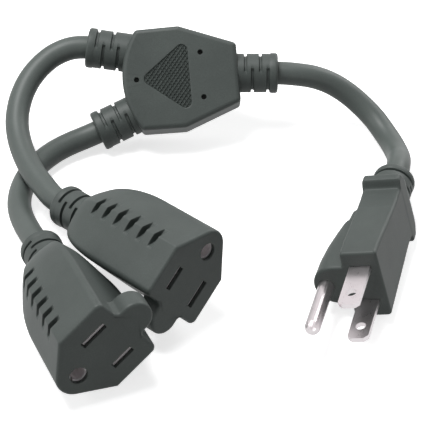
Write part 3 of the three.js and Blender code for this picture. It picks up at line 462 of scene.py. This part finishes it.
def grooved(ring, behind):
    """A ring with the grooves pressed in: inside a groove's width, a point within its disc goes out to the
    disc's rim, and soft edges lead in and out."""
    ring = ring.copy()
    for place, centre in groove_discs():
        share = 1 - step(abs(behind - place), GROOVE["width"] / 2 - 0.2, GROOVE["width"] / 2 + 0.12)
        if share <= 0:
            continue
        for side in (-1, 1):
            arm = ring - centre * (side, 1)
            away = np.linalg.norm(arm, axis=1)
            depth = np.maximum(GROOVE["radius"] - away, 0) * share
            ring += arm / away[:, None] * depth[:, None]
    return ring


def outlet_shell():
    """The outlet's skin: round front edge, full section with grooves, and the run down to the neck."""
    outline = outlet_outline()
    edge = OUTLET["edge"]
    rings = []
    for t in np.linspace(0, math.pi / 2, 7):
        rings.append(at_depth(inset_ring(outline, edge * (1 - math.sin(t))), -edge * (1 - math.cos(t))))
    half = GROOVE["width"] / 2
    places = list(np.arange(2.0, OUTLET["length"] - 0.8, 1.1))
    for place, _ in groove_discs():
        places = [p for p in places if abs(p - place) > half + 0.3]
        places += [place + s * (half + d) for s in (-1, 1) for d in (-0.35, -0.2, -0.09, 0.0, 0.06, 0.12)]
        places.append(place)
    for behind in sorted(places):
        ring = toward_circle(outline, OUTLET["axis"], OUTLET["neck"], outlet_blend(behind))
        rings.append(at_depth(grooved(ring, behind), -behind))
    end = toward_circle(outline, OUTLET["axis"], OUTLET["neck"], outlet_blend(OUTLET["length"]))
    for t in np.linspace(0, math.pi / 2, 5):
        z = -(OUTLET["length"] - 0.8 + 0.8 * math.sin(t))
        rings.append(at_depth(inset_ring(end, 0.8 * (1 - math.cos(t))), z))
    return skin("outlet_shell", rings)


def outlet_ear():
    """The half-round tab on the top edge of the face, with fillets at its foot and round edges."""
    w, f, top = EAR["half"], EAR["fillet"], OUTLET["top"]
    points = [(w + f, top - 1.5), (w + f, top)]
    quarter = np.linspace(0, math.pi / 2, 7)
    points += [(w + f * (1 - math.sin(t)), top + f * (1 - math.cos(t))) for t in quarter]
    arc = np.linspace(0, math.pi, 31)
    points += [(w * math.cos(t), EAR["centre"] + w * math.sin(t)) for t in arc]
    points += [(-x, y) for x, y in points[8:1:-1]]
    points += [(-w - f, top - 1.5)]
    outline = np.array(points)
    keep = np.linalg.norm(outline - np.roll(outline, 1, axis=0), axis=1) > 1e-4
    return skin("ear", rounded_side(outline[keep], 0.0, -EAR["depth"], 0.9))


def outlet_cutters():
    """The spaces inside an outlet: the contact carrier's, the wires', the cord's, and the openings in the
    face."""
    front = OUTLET["face"]
    back = front + FIT + CARRIER_LENGTH
    end = OUTLET["length"] - CORD_IN_OUTLET
    outline = outlet_outline()
    pocket = inset_ring(outline, OUTLET["wall"])
    space = inset_ring(outline, 3.6)
    axis = OUTLET["axis"]
    rings = []
    for z, blend in ((-back + 0.1, 0.0), (-back - 6, 0.45), (-end, 1.0)):
        rings.append(at_depth(toward_circle(space, axis, WIRE_SPACE_END, blend), z))
    bore = circle(BORE / 2, ROUND_SIDES, (0.0, axis))
    deep = -front - FIT
    neutral = rectangle(-BLADE_PITCH / 2, 0, *NEUTRAL_SLOT)
    line = rectangle(BLADE_PITCH / 2, 0, *LINE_SLOT)
    ground = circle(GROUND_HOLE / 2, ROUND_SIDES, (0.0, -GROUND_DROP))
    return [
        cutter_prism("pocket", pocket, -back - FIT, -front),
        skin("wire_space", rings),
        cutter_prism("bore", bore, -OUTLET["length"] - 15, -end + 0.2),
        flared_hole("neutral_slot", neutral, deep, 0.0, 0.22),
        flared_hole("line_slot", line, deep, 0.0, 0.22),
        flared_hole("ground_hole", ground, deep, 0.0, 0.3),
    ]


def outlet_pieces():
    """One outlet modelled in its own frame, to be set in both places."""
    body = outlet_shell()
    sleeve = relief_rings(LONG_RELIEF, 90.0, 3.0) + (0.0, OUTLET["axis"], -OUTLET["length"])
    combine(body, [outlet_ear(), skin("sleeve", sleeve)], "UNION")
    combine(body, outlet_cutters(), "DIFFERENCE")
    return body


def set_down(template, name, place):
    """A copy of a mesh made in its own frame, with its points moved to a place in the row frame."""
    mesh = template.data.copy()
    points = np.empty(len(mesh.vertices) * 3)
    mesh.vertices.foreach_get("co", points)
    moved = to_world(points.reshape(-1, 3), place) * MM
    mesh.vertices.foreach_set("co", moved.ravel())
    mesh.update()
    obj = bpy.data.objects.new(name, mesh)
    bpy.context.scene.collection.objects.link(obj)
    return finish_edges(obj, flat=placed_axes(place)[2])


# Plug

def plug_outline():
    """The face: a bar with small corners and a round boss on the ground side."""
    p = PLUG
    w, b, c = p["half"], p["boss"], p["corner"]
    return rounded_polygon([
        (-w, p["bottom"], c), (-b, p["bottom"], 0.6),
        (-b, p["boss_bottom"], b - 0.05), (b, p["boss_bottom"], b - 0.05),
        (b, p["bottom"], 0.6), (w, p["bottom"], c), (w, p["top"], c), (-w, p["top"], c),
    ], arc=12, spacing=0.6)


def plug_ring(outline, behind):
    """The face's outline scaled to the station: the width by itself, the top and the ground side by theirs,
    and the boss from the ground side down."""
    table = np.array(PLUG_STATIONS)
    spread = behind + np.array([-0.25, 0.0, 0.25])
    width, top, body, boss = (np.interp(spread, table[:, 0], table[:, k]).mean() for k in range(1, 5))
    x = outline[:, 0] / PLUG["half"] * width
    y = outline[:, 1]
    low = PLUG["bottom"]
    share = (y - low) / (PLUG["boss_bottom"] - low)
    under = body + share * (boss - body)
    side = np.where(y > 0, y / PLUG["top"] * top, y / low * body)
    return np.column_stack([x, np.where(y < low, under, side)])


def plug_shell():
    """The plug's skin through its stations, with a round front edge and a round back edge."""
    outline = plug_outline()
    edge = PLUG["edge"]
    rings = []
    for t in np.linspace(0, math.pi / 2, 7):
        ring = inset_ring(plug_ring(outline, 0.0), edge * (1 - math.sin(t)))
        rings.append(at_depth(ring, -edge * (1 - math.cos(t))))
    # wide apart along the taper, close together at the steps
    runs = ((1.6, 24.6, 1.1), (25.0, 26.5, 0.14), (27.2, 29.8, 0.9), (30.0, 31.5, 0.14), (32.2, 34.2, 0.7),
            (34.5, 41.8, 0.2))
    for behind in np.concatenate([np.arange(*run) for run in runs]):
        rings.append(at_depth(plug_ring(outline, behind), -behind))
    end = plug_ring(outline, PLUG["length"] - 0.3)
    for t in np.linspace(0, math.pi / 2, 4)[1:]:
        z = -(PLUG["length"] - 0.6 + 0.6 * math.sin(t))
        rings.append(at_depth(inset_ring(end, 0.6 * (1 - math.cos(t))), z))
    return skin("plug_shell", rings)


def plug_block_outline(grow, leg):
    """The blade block's section: a bar across both blades with a leg that saddles the ground pin."""
    w, h, low = 9 + grow, 4 + grow, -GROUND_DROP + leg
    side = leg + 1.5 + grow
    return rounded_polygon([
        (-w, -h, 0.6), (-side, -h, 0.3), (-side, low - grow, 0.6), (side, low - grow, 0.6),
        (side, -h, 0.3), (w, -h, 0.6), (w, h, 0.6), (-w, h, 0.6),
    ], arc=3, spacing=2.0)


def plug_pieces():
    """The plug's moulding: skin and sleeve, less the block's, the wires' and the cord's spaces and the ways
    of the blades and the ground pin."""
    body = plug_shell()
    axis = PLUG["axis"]
    sleeve = relief_rings(SHORT_RELIEF, 180.0, 3.0) + (0.0, axis, -PLUG["length"])
    combine(body, [skin("sleeve", sleeve)], "UNION")
    back = PLUG["face"] + FIT + PLUG["block"]
    end = PLUG["length"] - CORD_IN_PLUG
    bore = circle(BORE / 2, ROUND_SIDES, (0.0, axis))
    pin = circle((GROUND_PIN + METAL_WAY) / 2, ROUND_SIDES, (0.0, -GROUND_DROP))
    wire = circle(WIRE / 2 + FIT, 16, (0.0, -PLUG["wire_drop"]))
    section = plug_block_outline(-0.6, 0.1)
    rings = []
    for z, blend in ((-back, 0.0), (-back - 8, 0.12), (-back - 16, 0.35), (-end, 1.0)):
        rings.append(at_depth(toward_circle(section, axis, WIRE_SPACE_END, blend), z))
    cutters = [
        cutter_prism("pocket", plug_block_outline(FIT, 2), -back - FIT, -PLUG["face"]),
        skin("wire_space", rings),
        cutter_prism("bore", bore, -PLUG["length"] - 12, -end + 0.2),
        cutter_prism("pin_way", pin, -PLUG["pin_tail"] - FIT, 1),
        cutter_prism("wire_way", wire, -back - 1, -PLUG["pin_tail"]),
    ]
    for side in (-1, 1):
        across = (BLADE_THICKNESS + METAL_WAY, BLADE_WIDTH + METAL_WAY)
        way = rectangle(side * BLADE_PITCH / 2, 0, *across, corner=0.05)
        cutters.append(cutter_prism("blade_way", way, -PLUG["face"] - FIT, 1))
    return combine(body, cutters, "DIFFERENCE")


# Hub

def hub_outline():
    """A triangle seen from its face: a short right edge, sides that slope out to a blunt apex, and a left
    edge that bows out along an arc."""
    x, y = HUB["left_corner"]
    bulge = x - HUB["left"]
    radius = (y * y + bulge * bulge) / (2 * bulge)
    half = math.asin(y / radius)
    bow = []
    for t in np.linspace(math.pi - half, math.pi + half, 15)[1:-1]:
        bow.append((HUB["left"] + radius + radius * math.cos(t), radius * math.sin(t), 0.5))
    corner = HUB["edge"] + 0.1
    right = [(HUB["right"], -HUB["right_half"], corner), (HUB["right"], HUB["right_half"], corner)]
    return rounded_polygon(
        right + [(0.0, HUB["apex"], 3.0), (x, y, corner)] + bow + [(x, -y, corner), (0.0, -HUB["apex"], 3.0)],
        arc=8, spacing=0.9)


def from_exit(rings, exit_):
    """Rings drawn along -z from a sleeve's root, turned to leave the hub at that exit."""
    axes, root = exit_frame(exit_)
    return np.asarray(rings) @ axes + root


def hub_pieces():
    """The hub's moulding: a slab with round edges and three sleeves, less its inner spaces, the sunk triangle
    and the three pin holes."""
    face = HUB["thickness"] / 2
    body = skin("hub_shell", rounded_side(hub_outline(), face, -face, HUB["edge"], 6))
    sleeves = [skin("sleeve", from_exit(relief_rings(LONG_RELIEF, 180.0, 4.0), e)) for e in HUB_EXITS]
    combine(body, sleeves, "UNION")
    left, right, half = HUB["core_left"], HUB["core_right"], HUB["core_half"]
    core = rounded_polygon([
        (left - FIT, -half - FIT, 1.5), (right + FIT, -half - FIT, 1.5),
        (right + FIT, half + FIT, 1.5), (left - FIT, half + FIT, 1.5),
    ], arc=4, spacing=3.0)
    thick = HUB["core_thick"] + FIT
    cutters = [cutter_prism("pocket", core, -thick, thick)]
    ends = []
    for exit_ in HUB_EXITS:
        axes, root = exit_frame(exit_)
        ends.append((root + axes[2] * exit_[2])[:2])
        ring = at_depth(circle(BORE / 2, ROUND_SIDES), 0.0)
        rings = [ring + (0, 0, exit_[2] + FIT), ring - (0, 0, LONG_RELIEF[0] + 1)]
        cutters.append(skin("bore", from_exit(rings, exit_)))
    plug_end, upper, lower = ends
    reach = 3.2
    fan = np.array([
        (left + 0.5, -half), (left - 4.5, lower[1] - reach), (lower[0], lower[1] - reach),
        (lower[0] - 1.5, lower[1] + reach), (upper[0] - 1.2, upper[1] - reach - 0.6),
        (upper[0], upper[1] + reach), (left - 4.5, upper[1] + reach), (left + 0.5, half),
    ])[::-1]
    wedge = np.array([
        (right - 0.5, -half), (plug_end[0] + 0.2, plug_end[1] - reach - 0.7),
        (plug_end[0] + 0.2, plug_end[1] + reach + 0.7), (right - 0.5, half),
    ])
    cutters.append(cutter_prism("left_space", fan, -2.65, 2.65))
    cutters.append(cutter_prism("plug_space", wedge, -2.65, 2.65))
    cutters.append(flared_hole("panel", panel_outline(), face - PANEL_DEPTH, face, 0.3))
    for x, y in PIN_HOLES:
        hole = circle(PIN_HOLE, 24, (x, y))
        cutters.append(flared_hole("pin_hole", hole, face - PIN_HOLE_DEPTH, face, 0.15))
    return combine(body, cutters, "DIFFERENCE")


def panel_outline():
    """The sunk triangle with its round corners."""
    corners = [(x, y, PANEL_CORNER) for x, y in (PANEL[0], PANEL[2], PANEL[1])]
    return rounded_polygon(corners, spacing=1.5)


def mesh_panel():
    """The sunk triangle's floor: a plate whose top carries two families of diagonal ridges, each a raised
    cosine across its run, trimmed to the triangle."""
    floor = HUB["thickness"] / 2 - PANEL_DEPTH + 0.01
    left, right, half = PANEL[0][0] - 0.2, PANEL[1][0] + 0.6, PANEL[1][1] - 0.8
    xs = np.arange(left, right, MESH["grid"])
    ys = np.arange(-half, half + 0.1, MESH["grid"])
    x, y = np.meshgrid(xs, ys, indexing="ij")
    rises = [np.cos(2 * math.pi * (x + side * MESH["slant"] * y) / MESH["pitch"]) for side in (-1, 1)]
    ridges = np.clip(np.maximum(*rises) * 1.8 - 0.8, 0, 1)
    top = np.column_stack([x.ravel(), y.ravel(), (floor + MESH["base"] + MESH["height"] * ridges).ravel()])
    under = top * (1, 1, 0) + (0, 0, floor)
    index = np.arange(x.size).reshape(x.shape)
    quads = np.stack([index[:-1, :-1], index[1:, :-1], index[1:, 1:], index[:-1, 1:]], axis=-1).reshape(-1, 4)
    rim = np.concatenate([index[0], index[1:, -1], index[-1, -2::-1], index[-2:0:-1, 0]])
    after = np.roll(rim, -1)
    sides = np.column_stack([rim, after, x.size + after, x.size + rim])
    faces = np.vstack([quads, x.size + quads[:, ::-1], sides]).tolist()
    plate = mesh_object("plate", np.vstack([top, under]), faces)
    triangle = panel_outline()
    trim = cutter_prism("trim", inset_ring(triangle, 0.06), floor - 1, floor + 2)
    return combine(plate, [trim], "INTERSECT")


# Cords

def cord_piece(name, points):
    """A round tube along the path: rings of a circle across it, carried along without twist."""
    along = np.gradient(points, axis=0)
    along /= np.linalg.norm(along, axis=1)[:, None]
    across = np.cross(along[0], (0.0, 0.0, 1.0))
    across /= np.linalg.norm(across)
    section = circle(CORD_DIAMETER / 2, ROUND_SIDES)
    rings = []
    for point, way in zip(points, along):
        across = across - way * (across @ way)
        across /= np.linalg.norm(across)
        up = np.cross(way, across)
        rings.append(point + section @ np.stack([across, up]))
    return finish_edges(skin(name, rings, MM), 50.0)


# Materials

def linear(hex_colour):
    """An sRGB colour written as six hex digits, as linear red, green, blue and full alpha."""
    parts = [int(hex_colour[i:i + 2], 16) / 255 for i in (0, 2, 4)]
    return tuple(p / 12.92 if p <= 0.04045 else ((p + 0.055) / 1.055) ** 2.4 for p in parts) + (1.0,)


def node(tree, kind, inputs=None, **settings):
    """Adds a shader node, sets its attributes, then fills or links the named inputs."""
    made = tree.nodes.new("ShaderNode" + kind)
    for key, value in settings.items():
        setattr(made, key, value)
    for key, value in (inputs or {}).items():
        if isinstance(value, bpy.types.NodeSocket):
            tree.links.new(value, made.inputs[key])
        else:
            made.inputs[key].default_value = value
    return made


def noise(tree, coordinates, size_mm, detail=2.0, rough=0.5):
    """A noise value whose features are about so many mm across."""
    made = node(tree, "TexNoise", {"Vector": coordinates, "Scale": 1 / (size_mm * MM), "Detail": detail,
                                   "Roughness": rough})
    return made.outputs["Fac"]


def ramp(tree, value, low, high):
    """A value between 0 and 1 turned into one between low and high."""
    return node(tree, "MapRange", {"Value": value, "To Min": low, "To Max": high}).outputs["Result"]


def new_material(name):
    """An empty material with its surface shader and object coordinates in metres."""
    material = bpy.data.materials.new(name)
    material.use_nodes = True
    tree = material.node_tree
    tree.nodes.clear()
    shader = node(tree, "BsdfPrincipled")
    out = node(tree, "OutputMaterial", {"Surface": shader.outputs["BSDF"]})
    out.is_active_output = True
    coordinates = node(tree, "TexCoord").outputs["Object"]
    return material, tree, shader, coordinates


def moulded(name, base, light, grain_mm, bump, roughness):
    """Moulded plastic: two close tones mixed by broad soft patches, a fine spark grain in the surface, and a
    roughness that drifts with the grain."""
    material, tree, shader, coordinates = new_material(name)
    shader.inputs["Specular IOR Level"].default_value = 0.35
    patch = noise(tree, coordinates, 14.0, 3.0, 0.6)
    grain = noise(tree, coordinates, grain_mm, 4.0, 0.65)
    both = node(tree, "Math", {0: patch, 1: grain}, operation="MULTIPLY").outputs[0]
    share = ramp(tree, both, 0.0, 2.0)
    colour = node(tree, "MixRGB", {"Fac": share, "Color1": linear(base), "Color2": linear(light)})
    tree.links.new(colour.outputs["Color"], shader.inputs["Base Color"])
    tree.links.new(ramp(tree, grain, roughness - 0.1, roughness + 0.1), shader.inputs["Roughness"])
    relief = node(tree, "Bump", {"Height": grain, "Strength": bump, "Distance": 0.05 * MM})
    tree.links.new(relief.outputs["Normal"], shader.inputs["Normal"])
    return material


def metal(name, base, light, roughness, metallic):
    """Plated metal: fine drawn lines along the row frame's longest run of each blade, with dull smudges in
    the roughness."""
    material, tree, shader, coordinates = new_material(name)
    stretched = node(tree, "Mapping", {"Vector": coordinates, "Scale": (1.0, 0.06, 1.0)}).outputs["Vector"]
    lines = noise(tree, stretched, 0.12, 2.0, 0.5)
    smudge = noise(tree, coordinates, 4.0, 3.0, 0.6)
    colour = node(tree, "MixRGB", {"Fac": smudge, "Color1": linear(base), "Color2": linear(light)})
    tree.links.new(colour.outputs["Color"], shader.inputs["Base Color"])
    shader.inputs["Metallic"].default_value = metallic
    both = node(tree, "Math", {0: lines, 1: smudge}, operation="ADD").outputs[0]
    tree.links.new(ramp(tree, both, roughness - 0.08, roughness + 0.04), shader.inputs["Roughness"])
    relief = node(tree, "Bump", {"Height": lines, "Strength": 0.12, "Distance": 0.02 * MM})
    tree.links.new(relief.outputs["Normal"], shader.inputs["Normal"])
    return material


def dress(obj, material):
    """The object's only material."""
    obj.data.materials.clear()
    obj.data.materials.append(material)


# Camera, light and floor

def backdrop():
    """The floor: a large pale sheet that also shines a little, so that it stays white where nothing shades
    it."""
    half = 1500.0
    floor = mesh_object("floor", [(-half, -half, 0), (half, -half, 0), (half, half, 0), (-half, half, 0)],
                        [(0, 1, 2, 3)], MM, smooth=False)
    material, tree, shader, _ = new_material("pale backdrop paper")
    path = node(tree, "LightPath")
    glossy = node(tree, "Math", {0: path.outputs["Is Glossy Ray"], 1: 0.7}, operation="MULTIPLY")
    shine = node(tree, "Math", {0: path.outputs["Is Camera Ray"], 1: 0.7, 2: glossy.outputs[0]},
                 operation="MULTIPLY_ADD")
    tone = node(tree, "MixRGB", {"Fac": path.outputs["Is Camera Ray"], "Color1": linear("8c8c8c"),
                                 "Color2": linear("f4f4f4")})
    tree.links.new(tone.outputs["Color"], shader.inputs["Base Color"])
    shader.inputs["Roughness"].default_value = 0.9
    shader.inputs["Emission Color"].default_value = linear("ffffff")
    tree.links.new(shine.outputs[0], shader.inputs["Emission Strength"])
    dress(floor, material)
    return floor


def softbox(name, place, target, size, power):
    """A square area light in mm, aimed at a point."""
    data = bpy.data.lights.new(name, "AREA")
    data.shape = "SQUARE"
    data.size = size * MM
    data.energy = power
    light = bpy.data.objects.new(name, data)
    light.location = np.array(place) * MM
    aim(light, target)
    bpy.context.scene.collection.objects.link(light)
    return light


def aim(obj, target):
    """Turns an object's -z axis to a point in mm, with its y axis up."""
    way = Vector(np.array(target) * MM) - Vector(obj.location)
    obj.rotation_euler = way.to_track_quat("-Z", "Y").to_euler()


def camera():
    """The camera at its elevation and distance, with the lens that gives the picture's scale at the
    target."""
    data = bpy.data.cameras.new("camera")
    data.sensor_width = 36.0
    data.lens = 36.0 * PIXELS_PER_MM * CAMERA_DISTANCE / PICTURE
    data.clip_end = 10.0
    obj = bpy.data.objects.new("camera", data)
    turn = math.radians(CAMERA_ELEVATION)
    away = np.array([0.0, -math.cos(turn), math.sin(turn)]) * CAMERA_DISTANCE
    obj.location = (np.array(CAMERA_TARGET) + away) * MM
    aim(obj, CAMERA_TARGET)
    scene = bpy.context.scene
    scene.collection.objects.link(obj)
    scene.camera = obj
    scene.render.resolution_x = PICTURE
    scene.render.resolution_y = PICTURE
    scene.view_settings.view_transform = "Standard"
    return obj


def surroundings():
    """White to the camera, bright to reflections, and a dim even sky to every other ray."""
    world = bpy.data.worlds.new("studio")
    bpy.context.scene.world = world
    world.use_nodes = True
    tree = world.node_tree
    tree.nodes.clear()
    path = node(tree, "LightPath")
    seen = node(tree, "Background", {"Color": linear("ffffff"), "Strength": 1.0})
    mirrored = node(tree, "Background", {"Color": linear("fbf7f8"), "Strength": 0.9})
    sky = node(tree, "Background", {"Color": linear("f6f8fa"), "Strength": 0.1})
    glossy, direct = path.outputs["Is Glossy Ray"], path.outputs["Is Camera Ray"]
    lit = node(tree, "MixShader", {0: glossy, 1: sky.outputs[0], 2: mirrored.outputs[0]})
    mixed = node(tree, "MixShader", {0: direct, 1: lit.outputs[0], 2: seen.outputs[0]})
    node(tree, "OutputWorld", {"Surface": mixed.outputs[0]})


camera()
surroundings()

# Cords first: each runs from its jacket's end in the hub to the one in its connector
outlet_inner, outlet_mouth = OUTLET["length"] - CORD_IN_OUTLET, OUTLET["length"] + LONG_RELIEF[0]
plug_inner, plug_mouth = PLUG["length"] - CORD_IN_PLUG, PLUG["length"] + SHORT_RELIEF[0]
ROUTES = (
    ("plug_lead", "plug_cord", HUB_EXITS[0], PLUG_CORD_POINTS,
     connector_start(PLUG_PLACE, plug_inner, plug_mouth, PLUG["axis"])),
    ("outlet_2_lead", "outlet_2_cord", HUB_EXITS[1], UPPER_CORD_POINTS,
     connector_start(OUTLET_2_PLACE, outlet_inner, outlet_mouth, OUTLET["axis"])),
    ("outlet_1_lead", "outlet_1_cord", HUB_EXITS[2], LOWER_CORD_POINTS,
     connector_start(OUTLET_1_PLACE, outlet_inner, outlet_mouth, OUTLET["axis"])),
)
jacket = moulded("satin PVC cord jacket, charcoal", "4d5451", "5b625f", 0.5, 0.15, 0.46)
for name, node_name, exit_, points, last in ROUTES:
    path = catmull_rom(hub_start(exit_) + [np.array(p) for p in points] + last[::-1])
    lead = cord_piece(name, path)
    dress(lead, jacket)
    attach(lead, "root")
    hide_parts(node_name)

# Mouldings
pvc = moulded("moulded satin PVC, charcoal", "3b413f", "4f5653", 0.45, 0.3, 0.5)
panel_pvc = moulded("moulded PVC with a mesh texture, charcoal", "333937", "3f4643", 0.4, 0.2, 0.6)
hard = moulded("hard dark thermoplastic", "2c302f", "383d3b", 0.5, 0.2, 0.5)
plate = metal("nickel-plated brass", "d6d0d2", "e6e1e3", 0.26, 1.0)
# The contacts' near-white colour, set half diffuse, is tin's own pale tone made lighter as painted
# reflection, so that the slots show bright.
contact = metal("tinned spring brass", "f0ebec", "f8f4f5", 0.42, 0.3)
wires = {
    "black_wire": moulded("black wire insulation", "17181a", "222326", 0.6, 0.1, 0.45),
    "white_wire": moulded("white wire insulation", "dedcd6", "eceae5", 0.6, 0.1, 0.45),
    "green_wire": moulded("green wire insulation", "276a3f", "327c4b", 0.6, 0.1, 0.45),
}
by_slot = {"inner_moulding": hard, "nickel_plated_brass": plate, "contact_brass": contact, **wires}
for part in frame["record"]["subparts"]:
    if part["material_slot"] in by_slot:
        dress(frame["nodes"][part["node"]], by_slot[part["material_slot"]])

outlet = outlet_pieces()
made = [
    (set_down(outlet, "outlet_1_moulding", OUTLET_1_PLACE), "outlet_1_overmould"),
    (set_down(outlet, "outlet_2_moulding", OUTLET_2_PLACE), "outlet_2_overmould"),
]
plug = plug_pieces()
made.append((set_down(plug, "plug_moulding", PLUG_PLACE), "plug_overmould"))
hub = hub_pieces()
made.append((set_down(hub, "hub_moulding", HUB_PLACE), "hub_overmould"))
for piece, node_name in made:
    dress(piece, pvc)
    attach(piece, "root")
    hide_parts(node_name)
mesh = mesh_panel()
panel = set_down(mesh, "hub_mesh_panel", HUB_PLACE)
dress(panel, panel_pvc)
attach(panel, "root")
for template in (outlet, plug, hub, mesh):
    bpy.data.objects.remove(template)

# Round the blades' edges
for name in ("plug_line_blade", "plug_neutral_blade"):
    rounding = frame["nodes"][name].modifiers.new("round edges", "BEVEL")
    rounding.width = 0.25 * MM
    rounding.segments = 3
    rounding.limit_method = "ANGLE"
    rounding.angle_limit = math.radians(40)

# Light and floor
backdrop()
softbox("key light", (-250, 150, 900), (10, 0, 0), 420, 8.5)
softbox("fill light", (-700, -200, 350), (0, 0, 10), 400, 1.6)
softbox("back light", (500, 700, 450), (20, 0, 10), 500, 3.0)
softbox("front light", (220, -460, 90), (10, -60, 15), 160, 0.2)
